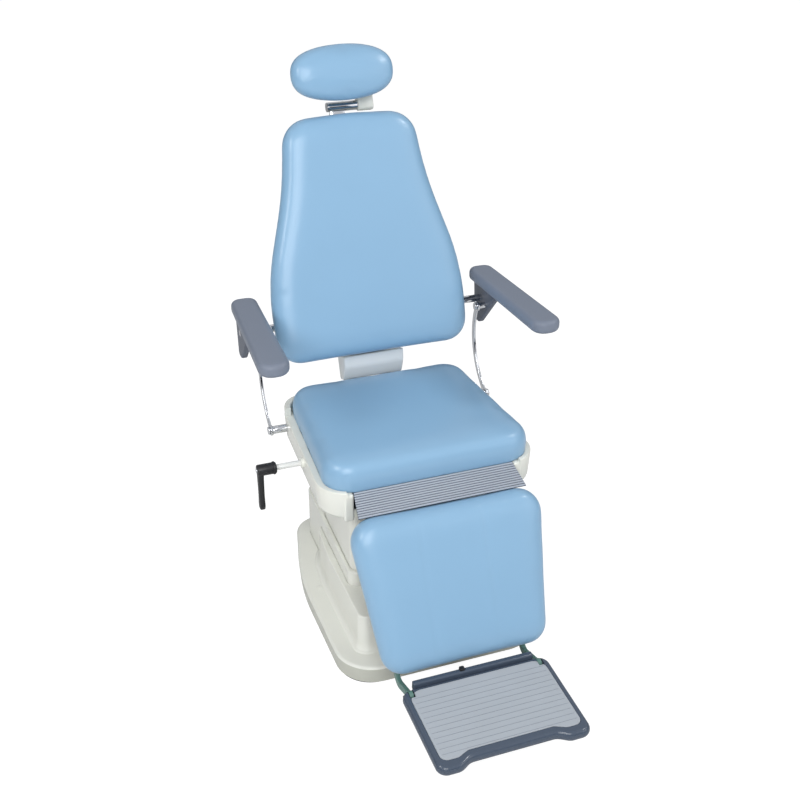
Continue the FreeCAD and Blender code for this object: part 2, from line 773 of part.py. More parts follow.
def make_base():
    """Floor plate, moulded cover, outer column, lift drive and electrics."""
    plate = prism(inset(base_corners, skirt_draft + cover_wall + fit_gap), 0.0, base_plate_thickness)
    slope = (middle_half_width - middle_rear_half_width) / (middle_rear_y - middle_front_y)
    for y in (boss_front_y, boss_rear_y):
        wall_middle = middle_half_width - slope * (y - middle_front_y) - cover_wall / 2
        for x in (-wall_middle, wall_middle):
            plate = plate.fuse(bar_z(boss_radius, base_plate_thickness, middle_foot_z - free_gap, x, y))
    pieces["base_plate"] = plate

    skirt = [(inset(base_corners, skirt_draft), skirt_lift), (base_corners, skirt_top_z)]
    rim = [(inset(base_corners, rim_low_inset), rim_low_z), (inset(base_corners, rim_high_inset), rim_high_z)]
    plinth = [(plinth_corners, plinth_foot_z),
              (inset(plinth_corners, plinth_draft), plinth_top_z - plinth_edge)]
    top_edge = [(inset(plinth_corners, plinth_draft + plinth_edge), plinth_top_z)]
    inside = [(inset(corners, cover_wall), height - cover_wall) for corners, height in skirt + plinth]
    cover = stacked(skirt + rim + plinth + top_edge).cut(stacked(inside))
    opening = inset(middle_corners, -cover_slide_gap)
    cover = cover.cut(prism(opening, plinth_foot_z, plinth_top_z + cover_wall))
    body_half_width = inlet_flange_half_width - inlet_body_margin
    body_half_height = inlet_flange_half_height - inlet_body_margin
    inlet_hole = box(inlet_x - body_half_width - fit_gap, inlet_x + body_half_width + fit_gap,
                     inlet_face_y - inlet_body_depth, inlet_face_y + cover_wall,
                     inlet_z - body_half_height - fit_gap, inlet_z + body_half_height + fit_gap)
    pieces["base_cover"] = cover.cut(inlet_hole)

    half = column_outer_half
    bore = half - column_outer_wall
    tube = box(-half, half, -half, half, base_plate_thickness, column_outer_top_z)
    tube = tube.cut(box(-bore, bore, -bore, bore, base_plate_thickness, column_outer_top_z))
    tube = tube.cut(bar_y(snout_radius + snout_hole_gap, 0.0, half, 0.0, snout_z))
    pieces["column_outer_tube"] = tube

    pad_top = column_outer_top_z - guide_pad_drop
    pad = box(column_inner_half + fit_gap, bore, -guide_pad_half_width, guide_pad_half_width,
              pad_top - guide_pad_height, pad_top)
    pads = []
    for quarter in range(4):
        turned_pad = pad.copy()
        turned_pad.rotate(V(0, 0, 0), V(0, 0, 1), 90 * quarter)
        pads.append(turned_pad)
    pieces["column_guide_pads"] = Part.makeCompound(pads)

    actuator = bar_z(actuator_radius, base_plate_thickness, actuator_top_z)
    pieces["lift_actuator_tube"] = actuator.cut(
        bar_z(lift_rod_radius + fit_gap, actuator_bore_foot_z, actuator_top_z))

    gearbox = box(-gearbox_half_width, gearbox_half_width, half, half + gearbox_length,
                  base_plate_thickness, gearbox_top_z)
    gearbox = gearbox.fuse(bar_y(snout_radius, actuator_radius + free_gap, half, 0.0, snout_z))
    motor = bar_x(motor_radius, gearbox_half_width, gearbox_half_width + motor_length, motor_y, motor_z)
    pieces["lift_motor"] = gearbox.fuse(motor)

    control_y = plinth_front_y + control_setback
    pieces["control_box"] = box(-control_half_width, control_half_width, control_y,
                                control_y + control_depth, base_plate_thickness,
                                base_plate_thickness + control_height)

    flange = box(inlet_x - inlet_flange_half_width, inlet_x + inlet_flange_half_width,
                 inlet_face_y, inlet_face_y + inlet_flange_thickness,
                 inlet_z - inlet_flange_half_height, inlet_z + inlet_flange_half_height)
    body = box(inlet_x - body_half_width, inlet_x + body_half_width,
               inlet_face_y - inlet_body_depth, inlet_face_y,
               inlet_z - body_half_height, inlet_z + body_half_height)
    recess_half_width = inlet_flange_half_width - inlet_recess_margin
    recess_half_height = inlet_flange_half_height - inlet_recess_margin
    recess_y = inlet_face_y - inlet_recess_depth
    recess = box(inlet_x - recess_half_width, inlet_x + recess_half_width,
                 recess_y, inlet_face_y + inlet_flange_thickness,
                 inlet_z - recess_half_height, inlet_z + recess_half_height)
    inlet = flange.fuse(body).cut(recess)
    for step, rise in ((-1, -inlet_pin_rise), (0, inlet_pin_rise), (1, -inlet_pin_rise)):
        inlet = inlet.fuse(bar_y(inlet_pin_radius, recess_y, recess_y + inlet_pin_length,
                                 inlet_x + step * inlet_pin_pitch, inlet_z + rise))
    pieces["mains_inlet"] = inlet


def make_lift():
    """Column covers, inner column, lift rod and the lower half of the turntable."""
    sections = [(middle_corners, middle_foot_z), (middle_corners, middle_top_z - middle_edge),
                (inset(middle_corners, middle_edge), middle_top_z)]
    inside = [(inset(corners, cover_wall), height - cover_wall) for corners, height in sections]
    cover = stacked(sections).cut(stacked(inside))
    opening = inset(upper_corners, -cover_slide_gap)
    pieces["middle_cover"] = cover.cut(prism(opening, middle_foot_z, middle_top_z + cover_wall))

    half = column_inner_half
    bore = half - column_inner_wall
    tube = box(-half, half, -half, half, column_inner_foot_z, column_top_z)
    pieces["column_inner_tube"] = tube.cut(box(-bore, bore, -bore, bore, column_inner_foot_z, column_top_z))
    pieces["lift_rod"] = bar_z(lift_rod_radius, lift_rod_foot_z, column_top_z)

    flange_top = turntable_plate_top + cover_wall
    cover = prism(upper_corners, upper_foot_z, flange_top)
    cover = cover.cut(prism(inset(upper_corners, cover_wall), upper_foot_z, turntable_plate_top))
    pieces["upper_cover"] = cover.cut(
        bar_z(turntable_disc_radius + flange_hole_gap, turntable_plate_top, flange_top))

    plate = box(-seat_plate_half, seat_plate_half, -turntable_half_depth, turntable_half_depth,
                column_top_z, turntable_plate_top)
    pieces["turntable_lower_plate"] = plate.fuse(
        bar_z(turntable_post_radius, turntable_plate_top, turntable_post_top))
    pieces["swivel_brake_disc"] = bar_z(brake_disc_radius, turntable_post_top, brake_disc_top)


def make_seat_pan():
    """Moulded pan with its rim, front posts, rear corners and holes."""
    band_z = pan_rim_z - pan_band_height
    floor = [(inset(pan_corners, pan_floor_inset), pan_foot_z),
             (inset(pan_corners, pan_break_inset), band_z - pan_break_drop)]
    band = [(inset(pan_corners, pan_band_inset), band_z)]
    top = [(pan_corners, pan_rim_z)]
    inside = [(inset(corners, cover_wall), height + cover_wall) for corners, height in floor + top]
    pan = stacked(floor + band + top).cut(stacked(inside))
    rim_foot = pan_rim_z - pan_rim_depth
    rim = prism(inset(pan_corners, cover_wall / 2), rim_foot, pan_rim_z)
    pan = pan.fuse(rim.cut(prism(inset(seat_corners, pan_rim_lap), rim_foot, pan_rim_z)))
    reach = 2 * pan_half_width
    notch = pan_notch_half_width
    pan = pan.cut(box(-notch, notch, -reach, pan_notch_y, 0.0, pan_rim_z + cover_wall))

    board_front_y = seat_front_y + seat_board_inset - free_gap
    post = box(notch, notch + pan_post_width, pan_post_front_y, board_front_y, pan_foot_z, seat_board_top)
    post = post.fuse(box(notch, notch + pan_post_width, board_front_y, pan_notch_y,
                         pan_foot_z, cross_bar_top_z - free_gap))
    post = post.common(prism(pan_corners, pan_foot_z, pan_rim_z))
    pan = pan.fuse(post).fuse(mirrored(post))

    ear_ring = prism(pan_corners, pan_rim_z, pan_rim_z + pan_ear_height)
    ear_ring = ear_ring.cut(prism(inset(pan_corners, cover_wall), pan_rim_z, pan_rim_z + pan_ear_height))
    ear = ear_ring.common(box(pan_ear_inner_x, reach, pan_ear_front_y, reach,
                              pan_rim_z, pan_rim_z + pan_ear_height))
    pan = pan.fuse(ear).fuse(mirrored(ear))
    rear = pan_rear_notch_half_width
    pan = pan.cut(box(-rear, rear, pan_rear_notch_y, reach, pan_floor_top, pan_rim_z + cover_wall))
    pan = pan.cut(bar_z(turntable_post_radius + pan_floor_hole_gap, pan_foot_z, pan_floor_top))
    pan = pan.cut(bar_x(lock_bush_radius + fit_gap, -reach, lock_bush_inner_x, lock_rod_y, lock_rod_z))
    stud_hole = bar_x(pan_stud_radius + fit_gap, pan_stud_inner_x, reach, pan_stud_y, pan_stud_z)
    pieces["seat_pan"] = pan.cut(stud_hole).cut(mirrored(stud_hole))


def eye_bracket(foot_front, foot_rear, foot_z, eye_y, eye_z, radius, x0, x1):
    """Plate that stands on a floor and carries an eye."""
    corner = eye_share * radius
    plate = plate_x([(foot_front, foot_z, 0), (foot_rear, foot_z, 0),
                     (eye_y + corner, eye_z - corner, 0), (eye_y - corner, eye_z + corner, 0)], x0, x1)
    return plate.fuse(bar_x(radius, x0, x1, eye_y, eye_z))


def make_seat_frame():
    """Turntable, rails, cross bars, board, hinges, drives and brake under the seat cushion."""
    disc = bar_z(turntable_disc_radius, turntable_disc_foot, seat_plate_foot)
    plate = box(-seat_plate_half, seat_plate_half, -seat_plate_half, seat_plate_half,
                seat_plate_foot, pan_foot_z)
    bore = bar_z(turntable_post_radius + fit_gap, turntable_disc_foot, pan_foot_z)
    pieces["seat_turntable"] = disc.fuse(plate).cut(bore)

    rail_outer_x = rail_inner_x + rail_width
    rail = hollow_box(rail_inner_x, rail_outer_x, pan_notch_y, rail_rear_y,
                      pan_floor_top, rail_top_z, rail_wall)
    pieces["seat_rails"] = Part.makeCompound([rail, mirrored(rail)])
    bars = []
    for y in (cross_bar_front_y, cross_bar_rear_y):
        bars.append(box(-cross_bar_half_length, cross_bar_half_length, y, y + cross_bar_width,
                        rail_top_z, cross_bar_top_z))
    pieces["seat_cross_bars"] = Part.makeCompound(bars)
    board = prism(inset(seat_corners, seat_board_inset), cross_bar_top_z, seat_board_top)
    pieces["seat_board"] = board.cut(
        box(-seat_board_notch_half_width, seat_board_notch_half_width, seat_board_notch_y, seat_rear_y,
            cross_bar_top_z, seat_board_top))
    pieces["seat_cushion"] = cushion(seat_corners, seat_foot_z, seat_foot_z + seat_thickness,
                                     seat_edge_inset, seat_crown, seat_crown_inset)

    bracket = eye_bracket(back_hinge_y - back_bracket_foot, back_hinge_y - back_bracket_foot_end,
                          pan_floor_top, back_hinge_y, back_hinge_z, back_hub_radius,
                          back_bracket_x, back_bracket_x + back_bracket_thickness)
    shaft_bore = bar_x(back_shaft_radius + fit_gap, -back_shaft_half_length, back_shaft_half_length,
                       back_hinge_y, back_hinge_z)
    bracket = bracket.cut(shaft_bore)
    pieces["back_hinge_brackets"] = Part.makeCompound([bracket, mirrored(bracket)])
    half = back_drive_half_width
    drive_front_y = cross_bar_rear_y + cross_bar_width + back_drive_front_gap
    drive = box(-half, half, drive_front_y, back_drive_rear_y,
                pan_floor_top, pan_floor_top + back_drive_height)
    drive = drive.fuse(box(-half, half, drive_front_y, back_hinge_y,
                           back_hinge_z - back_nose_drop, pan_floor_top + back_drive_height))
    drive = drive.fuse(bar_x(back_nose_radius, -half, half, back_hinge_y, back_hinge_z))
    pieces["back_drive"] = drive.cut(shaft_bore)

    eye = legrest_bracket_eye
    plate = plate_x([(legrest_hinge_y, legrest_hinge_z - eye, 0), (pan_notch_y, pan_floor_top, 0),
                     (pan_notch_y, rail_top_z, 0), (legrest_hinge_y, legrest_hinge_z + eye, 0)],
                    rail_inner_x, rail_inner_x + legrest_bracket_thickness)
    bracket = plate.fuse(bar_x(eye, rail_inner_x, rail_inner_x + legrest_bracket_thickness,
                               legrest_hinge_y, legrest_hinge_z))
    shaft_bore = bar_x(legrest_shaft_radius + fit_gap, -legrest_shaft_half_length, legrest_shaft_half_length,
                       legrest_hinge_y, legrest_hinge_z)
    bracket = bracket.cut(shaft_bore)
    pieces["legrest_hinge_brackets"] = Part.makeCompound([bracket, mirrored(bracket)])
    half = legrest_drive_half_width
    drive = box(-half, half, pan_notch_y, pan_notch_y + legrest_drive_depth,
                pan_floor_top, pan_floor_top + legrest_drive_height)
    drive = drive.fuse(box(-half, half, legrest_hinge_y, pan_notch_y,
                           legrest_hinge_z - legrest_nose_drop, legrest_hinge_z + legrest_nose_radius))
    drive = drive.fuse(bar_x(legrest_nose_radius, -half, half, legrest_hinge_y, legrest_hinge_z))
    pieces["legrest_drive"] = drive.cut(shaft_bore)
    pieces["brake_shoe"] = box(-rail_inner_x, brake_shoe_overlap - brake_disc_radius,
                               lock_rod_y - brake_shoe_half_depth, lock_rod_y + brake_shoe_half_depth,
                               brake_shoe_foot, brake_shoe_foot + brake_shoe_thickness)

    link_face = link_inner_x - free_gap
    link_outer = link_inner_x + link_thickness + free_gap
    stud = bar_x(pan_stud_radius, pan_stud_inner_x, link_face, pan_stud_y, pan_stud_z)
    stud = stud.fuse(bar_x(pan_stud_neck_radius, link_face, link_outer, pan_stud_y, pan_stud_z))
    stud = stud.fuse(bar_x(stud_head_radius, link_outer, link_outer + stud_head_thickness,
                           pan_stud_y, pan_stud_z))
    pieces["link_studs"] = Part.makeCompound([stud, mirrored(stud)])


def make_bellows():
    """Pleated sheet from the seat board to the top edge of the legrest."""
    top_z = seat_board_top + bellows_top_rise
    end_y, end_z = leaned_point(bellows_clear, -bellows_end_depth, leg_edge_y, leg_edge_z, leg_tilt)
    run = V(end_y - bellows_top_y, end_z - top_z, 0)
    across = V(run.y, -run.x, 0)
    across.normalize()
    folds = 2 * bellows_pleats
    outer = []
    inner = []
    for fold in range(folds + 1):
        point = V(bellows_top_y, top_z, 0) + run * (fold / folds)
        lift = bellows_depth if fold % 2 else 0.0
        low = point + across * (lift - bellows_depth)
        high = point + across * (lift - bellows_depth + bellows_sheet)
        inner.append((low.x, low.y, 0))
        outer.append((high.x, high.y, 0))
    sheet = plate_x(outer + inner[::-1], -bellows_half_width, bellows_half_width)
    board_front_y = seat_front_y + seat_board_inset
    flange_top = seat_board_top - bellows_flange_drop
    flange_x = seat_half_width - seat_board_inset - seat_front_round
    flange = box(-flange_x, flange_x, bellows_top_y, board_front_y,
                 flange_top - bellows_flange_thickness, flange_top)
    lip = box(-flange_x, flange_x, bellows_top_y, bellows_top_y + bellows_flange_thickness,
              flange_top - bellows_flange_thickness, top_z - bellows_depth + bellows_sheet)
    pieces["knee_bellows"] = sheet.fuse(flange.fuse(lip))


def make_lock():
    """Rod, bearings and lever of the swivel lock."""
    bore = bar_x(lock_rod_radius + fit_gap, lock_rod_outer_x, lock_rod_inner_x, lock_rod_y, lock_rod_z)
    bush = bar_x(lock_bush_radius, lock_bush_outer_x, lock_bush_inner_x, lock_rod_y, lock_rod_z)
    block = box(-rail_inner_x - rail_width, -rail_inner_x, lock_rod_y - lock_block_half_depth,
                lock_rod_y + lock_block_half_depth, rail_top_z, rail_top_z + lock_block_height)
    pieces["lock_rod_bearings"] = Part.makeCompound([bush.cut(bore), block.cut(bore)])

    rod = bar_x(lock_rod_radius, lock_rod_outer_x, lock_rod_inner_x, lock_rod_y, lock_rod_z)
    cam_reach = lock_rod_z - brake_shoe_foot - brake_shoe_thickness - lock_cam_gap
    cam = plate_x([(lock_rod_y - cam_reach, lock_rod_z - lock_rod_radius, lock_rod_radius / 2),
                   (lock_rod_y, lock_rod_z - lock_rod_radius, 0),
                   (lock_rod_y, lock_rod_z + lock_rod_radius, 0),
                   (lock_rod_y - cam_reach, lock_rod_z + lock_rod_radius, lock_rod_radius / 2)],
                  lock_cam_outer_x, lock_cam_inner_x)
    pieces["lock_rod"] = rod.fuse(cam)

    hub = bar_x(lever_hub_radius, lever_hub_outer_x, lever_hub_inner_x, lock_rod_y, lock_rod_z)
    tip_z = lock_rod_z - lever_arm_length
    arm = plate_x([(lock_rod_y - lever_arm_tip, tip_z, lever_arm_tip),
                   (lock_rod_y + lever_arm_tip, tip_z, lever_arm_tip),
                   (lock_rod_y + lever_arm_root, lock_rod_z, 0), (lock_rod_y - lever_arm_root, lock_rod_z, 0)],
                  lever_hub_outer_x, lever_hub_outer_x + lever_arm_width)
    pieces["lock_lever"] = hub.fuse(arm).cut(bore)


def make_backrest():
    """Shaft, spine, covers, board and cushion of the backrest."""
    pieces["back_hinge_shaft"] = bar_x(back_shaft_radius, -back_shaft_half_length, back_shaft_half_length,
                                       back_hinge_y, back_hinge_z)
    spine = hollow_box(-spine_half_width, spine_half_width, spine_low_s, spine_top_s,
                       spine_rear_n, spine_front_n, spine_wall)
    front = spine_front_n - yoke_front_step
    rear = front - yoke_depth
    yoke = plate_x([(back_hinge_s - yoke_heel, back_hinge_n - yoke_heel, 0),
                    (back_hinge_s + back_hub_radius - fit_gap, rear, 0),
                    (yoke_top_s, rear, 0), (yoke_top_s, front, 0),
                    (back_hinge_s + yoke_step_rise, front, 0),
                    (back_hinge_s + yoke_heel, back_hinge_n + yoke_heel, 0)],
                   yoke_x, yoke_x + yoke_thickness)
    yoke = yoke.fuse(bar_x(back_hub_radius, yoke_x, yoke_x + yoke_thickness, back_hinge_s, back_hinge_n))
    yoke = yoke.cut(bar_x(back_shaft_radius + fit_gap, 0.0, back_shaft_half_length, back_hinge_s, back_hinge_n))
    saddle = box(saddle_inner_x, spine_half_width, armrest_shaft_s - saddle_half_height,
                 armrest_shaft_s + saddle_half_height, spine_front_n, back_board_rear)
    arm_bore = bar_x(armrest_shaft_radius + fit_gap, 0.0, spine_half_width, armrest_shaft_s, armrest_shaft_n)
    side = yoke.fuse(saddle.cut(arm_bore))
    pieces["back_spine"] = on_back(spine.fuse(side).fuse(mirrored(side)))

    outer = [(spine_cover_low_s, rear - cover_wall, 0), (spine_cover_top_s, rear - cover_wall, 0),
             (spine_cover_top_s, spine_cover_top_n, 0), (spine_cover_low_s, spine_cover_low_n, 0)]
    inner = [(spine_cover_low_s, rear, 0), (spine_cover_top_s, rear, 0),
             (spine_cover_top_s, spine_cover_top_n - cover_wall, 0),
             (spine_cover_low_s, spine_cover_low_n - cover_wall, 0)]
    half = spine_cover_half_width
    cover = plate_x(outer, -half, half)
    pieces["spine_cover"] = on_back(cover.cut(plate_x(inner, cover_wall - half, half - cover_wall)))

    shell_corners = inset(back_corners, back_shell_inset)
    pieces["back_board"] = on_back(prism(shell_corners, back_board_rear, back_board_front))
    floor_n = back_board_rear - shell_floor_depth
    floor = [(inset(back_corners, shell_floor_inset), floor_n),
             (inset(back_corners, shell_break_inset), back_board_rear - shell_break_depth)]
    side = [(inset(back_corners, shell_side_inset), back_board_rear - shell_side_depth)]
    front_edge = [(shell_corners, back_board_rear)]
    inside = [(inset(corners, cover_wall), height + cover_wall) for corners, height in floor + front_edge]
    shell = stacked(floor + side + front_edge).cut(stacked(inside))
    shell = shell.cut(box(-shell_notch_half_width, shell_notch_half_width, back_low_s,
                          back_low_s + shell_notch_height, floor_n, back_board_rear))
    shell = shell.cut(bar_x(armrest_shaft_radius + shell_hole_gap, -armrest_bracket_x, armrest_bracket_x,
                            armrest_shaft_s, armrest_shaft_n))
    post_half = post_thickness / 2 + shell_hole_gap
    shell = shell.cut(box(post_left_x - shell_hole_gap, post_right_x + shell_hole_gap, socket_top_s,
                          back_peak_s, tube_n - post_half, tube_n + post_half))
    pieces["back_shell"] = on_back(shell)
    pieces["back_cushion"] = on_back(cushion(back_corners, back_cushion_rear, back_front_n,
                                             back_edge_inset, back_crown, back_crown_inset))
    shaft_end = armrest_bracket_x + armrest_bracket_thickness
    pieces["armrest_shaft"] = bar_x(armrest_shaft_radius, -shaft_end, shaft_end, arm_pivot_y, arm_pivot_z)

    socket = box(post_left_x - socket_wall, post_right_x + socket_wall, socket_low_s, socket_top_s,
                 spine_front_n, back_board_rear)
    slot_half = post_thickness / 2 + free_gap
    pieces["headrest_socket"] = on_back(socket.cut(
        box(post_left_x - free_gap, post_right_x + free_gap, socket_low_s, socket_top_s,
            tube_n - slot_half, tube_n + slot_half)))


def make_armrests():
    """Pads, brackets and the bowed links that keep them level."""
    pad_foot_z = arm_pivot_z + pad_foot_rise
    rear_y = arm_pivot_y + pad_rear_reach
    front_y = rear_y - pad_front_reach
    pad = rounded_slab([(pad_front_x - pad_half_width, front_y, pad_end_round),
                        (pad_front_x + pad_half_width, front_y, pad_end_round),
                        (pad_rear_x + pad_half_width, rear_y, pad_end_round),
                        (pad_rear_x - pad_half_width, rear_y, pad_end_round)],
                       pad_foot_z, pad_foot_z + pad_thickness, pad_edge)
    inner_x = armrest_bracket_x
    outer_x = armrest_bracket_x + armrest_bracket_thickness
    heel_z = arm_pivot_z - bracket_heel_drop
    bracket = plate_x([(arm_pivot_y - bracket_heel_front, heel_z, bracket_heel_round),
                       (arm_pivot_y + bracket_heel_rear, heel_z, bracket_heel_round),
                       (arm_pivot_y + bracket_top_rear, pad_foot_z, 0),
                       (arm_pivot_y - bracket_tip_setback, pad_foot_z, bracket_tip_round)], inner_x, outer_x)
    link_outer_x = link_inner_x + link_thickness
    stud = bar_x(arm_stud_radius, link_outer_x + free_gap, inner_x, arm_stud_y, arm_stud_z)
    stud = stud.fuse(bar_x(arm_stud_neck_radius, link_inner_x - free_gap, link_outer_x + free_gap,
                           arm_stud_y, arm_stud_z))
    stud = stud.fuse(bar_x(stud_head_radius, link_inner_x - free_gap - stud_head_thickness,
                           link_inner_x - free_gap, arm_stud_y, arm_stud_z))
    bracket = bracket.cut(bar_x(armrest_shaft_radius + fit_gap, inner_x, outer_x, arm_pivot_y, arm_pivot_z))
    bracket = bracket.fuse(stud)

    foot = V(link_inner_x, pan_stud_y, pan_stud_z)
    head = V(link_inner_x, arm_stud_y, arm_stud_z)
    chord = head - foot
    rearward = V(0, chord.z, -chord.y)
    rearward.normalize()
    along = V(0, chord.y, chord.z)
    along.normalize()
    middle = (foot + head) * 0.5 + rearward * link_bow
    half_width = link_width / 2
    half_chord = chord.Length / 2
    bow_radius = (half_chord ** 2 + link_bow ** 2) / (2 * link_bow)
    centre = middle - rearward * bow_radius
    edges = []
    rims = []
    for radius in (bow_radius + half_width, bow_radius - half_width):
        start = centre + (foot - centre) * (radius / bow_radius)
        end = centre + (head - centre) * (radius / bow_radius)
        edges.append(Part.Arc(start, centre + rearward * radius, end).toShape())
        rims.append((start, end))
    edges.append(Part.makeLine(rims[0][0], rims[1][0]))
    edges.append(Part.makeLine(rims[0][1], rims[1][1]))
    link = Part.Face(Part.Wire(Part.__sortEdges__(edges))).extrude(V(link_thickness, 0, 0))
    link = link.fuse(bar_x(link_eye_radius, link_inner_x, link_outer_x, pan_stud_y, pan_stud_z))
    link = link.fuse(bar_x(link_eye_radius, link_inner_x, link_outer_x, arm_stud_y, arm_stud_z))
    link = link.cut(bar_x(pan_stud_neck_radius + free_gap, link_inner_x, link_outer_x, pan_stud_y, pan_stud_z))
    link = link.cut(bar_x(arm_stud_neck_radius + fit_gap, link_inner_x, link_outer_x, arm_stud_y, arm_stud_z))
    for name, piece in (("armrest_pad", pad), ("armrest_bracket", bracket), ("armrest_link", link)):
        pieces[name + "_right"] = piece
        pieces[name + "_left"] = mirrored(piece)


def make_headrest():
    """Sliding post with its tube, hinge pin, arm, shell and cushion."""
    half = post_thickness / 2
    post = box(post_left_x, post_right_x, post_low_s, tube_s, tube_n - half, tube_n + half)
    notch_s = tube_s - post_notch_drop
    post = post.cut(bar_z(post_notch_radius, tube_n - half, tube_n + half, post_right_x, notch_s))
    post = post.fuse(bar_x(tube_radius, tube_left_x, tube_right_x, tube_s, tube_n))
    post = post.cut(bar_x(hinge_pin_radius + fit_gap, tube_left_x, tube_right_x, tube_s, tube_n))
    pieces["headrest_post"] = on_back(post)

    arm_x = tube_right_x + free_gap
    arm_end_x = arm_x + headrest_arm_width
    cap_x = tube_left_x - free_gap
    pin = bar_x(hinge_pin_radius, cap_x, arm_end_x, tube_s, tube_n)
    pin = pin.fuse(bar_x(tube_radius, cap_x - hinge_pin_cap, cap_x, tube_s, tube_n))
    pieces["headrest_hinge_pin"] = on_back(pin)
    front = tube_n + headrest_arm_half_depth
    low = tube_s - headrest_arm_low
    shell_low_s = headrest_shell_low_s - free_gap
    arm = plate_x([(low, tube_n - headrest_arm_half_depth, 0), (headrest_arm_top_s, headrest_arm_rear_n, 0),
                   (headrest_arm_top_s, headrest_shell_rear, 0),
                   (shell_low_s + headrest_shell_edge, headrest_shell_rear, 0),
                   (shell_low_s, headrest_shell_rear + headrest_shell_edge, 0),
                   (shell_low_s, front, 0), (low, front, 0)], arm_x, arm_end_x)
    arm = arm.cut(bar_x(hinge_pin_radius + fit_gap, arm_x, arm_end_x, tube_s, tube_n))
    pieces["headrest_arm"] = on_back(arm)

    shell_corners = both_sides([
        (headrest_shell_low_half_width, headrest_shell_low_s, headrest_shell_round),
        (headrest_shell_top_half_width, headrest_shell_top_s, headrest_shell_round)])
    edge = headrest_shell_edge
    shell = stacked([(inset(shell_corners, edge), headrest_shell_rear),
                     (shell_corners, headrest_shell_rear + edge), (shell_corners, back_board_front)])
    pieces["headrest_shell"] = on_back(shell)
    pieces["headrest_cushion"] = on_back(cushion(headrest_corners, back_cushion_rear, headrest_front_n,
                                                 headrest_edge_inset, headrest_crown, headrest_crown_inset))


def make_legrest():
    """Hinge shaft, steel frame, board, cushion and the brackets for the footrest."""
    pieces["legrest_hinge_shaft"] = bar_x(legrest_shaft_radius, -legrest_shaft_half_length,
                                          legrest_shaft_half_length, legrest_hinge_y, legrest_hinge_z)
    frame = box(-leg_frame_half_width, leg_frame_half_width, leg_frame_low_s, leg_frame_top_s,
                leg_frame_rear, leg_board_rear)
    arm_outer_x = leg_arm_inner_x + leg_arm_width
    arm = plate_x([(legrest_hinge_s, legrest_hinge_n - leg_arm_half_depth, 0),
                   (legrest_hinge_s, legrest_hinge_n + leg_arm_half_depth, 0),
                   (leg_arm_low_s, leg_board_rear - leg_frame_thickness / 2, 0),
                   (leg_arm_low_s, leg_frame_rear - leg_frame_thickness / 2, 0)], leg_arm_inner_x, arm_outer_x)
    arm = arm.fuse(bar_x(leg_hub_radius, leg_arm_inner_x, arm_outer_x, legrest_hinge_s, legrest_hinge_n))
    arm = arm.cut(bar_x(legrest_shaft_radius + fit_gap, leg_arm_inner_x, arm_outer_x,
                        legrest_hinge_s, legrest_hinge_n))
    pieces["legrest_frame"] = on_leg(frame.fuse(arm).fuse(mirrored(arm)))
    board_corners = both_sides([
        (leg_board_half_width_low, leg_board_low_s, leg_board_round),
        (leg_board_half_width_top, leg_board_top_s, leg_board_round)])
    pieces["legrest_board"] = on_leg(prism(board_corners, leg_board_rear, leg_board_front))
    pad = cushion(leg_corners, leg_cushion_rear, leg_front_n, leg_edge_inset, leg_crown, leg_crown_inset)
    channel = bar_y(leg_channel_radius, leg_low_s, 0.0, leg_channel_x,
                    leg_front_n + leg_channel_radius - leg_channel_depth)
    pieces["legrest_cushion"] = on_leg(pad.cut(channel).cut(mirrored(channel)))

    half = foot_bracket_width / 2
    bar_n = leg_board_rear - half
    bend_s = foot_bracket_bend_s
    strip = plate_x([(foot_bracket_top_s, bar_n + half, 0), (foot_bracket_top_s, bar_n - half, 0),
                     (bend_s - half, bar_n - half, foot_bracket_round + half),
                     (foot_pivot_s - half, foot_pivot_n, 0), (foot_pivot_s + half, foot_pivot_n, 0),
                     (bend_s + half, bar_n + half, foot_bracket_round)],
                    leg_frame_half_width, leg_frame_half_width + foot_bracket_thickness)
    eye = bar_x(foot_bracket_eye, leg_frame_half_width, leg_frame_half_width + foot_bracket_thickness,
                foot_pivot_s, foot_pivot_n)
    bracket = strip.fuse(eye).cut(
        bar_x(foot_bolt_radius + fit_gap, leg_frame_half_width, leg_frame_half_width + foot_bracket_thickness,
              foot_pivot_s, foot_pivot_n))
    bracket = on_leg(bracket)
    pieces["footrest_brackets"] = Part.makeCompound([bracket, mirrored(bracket)])


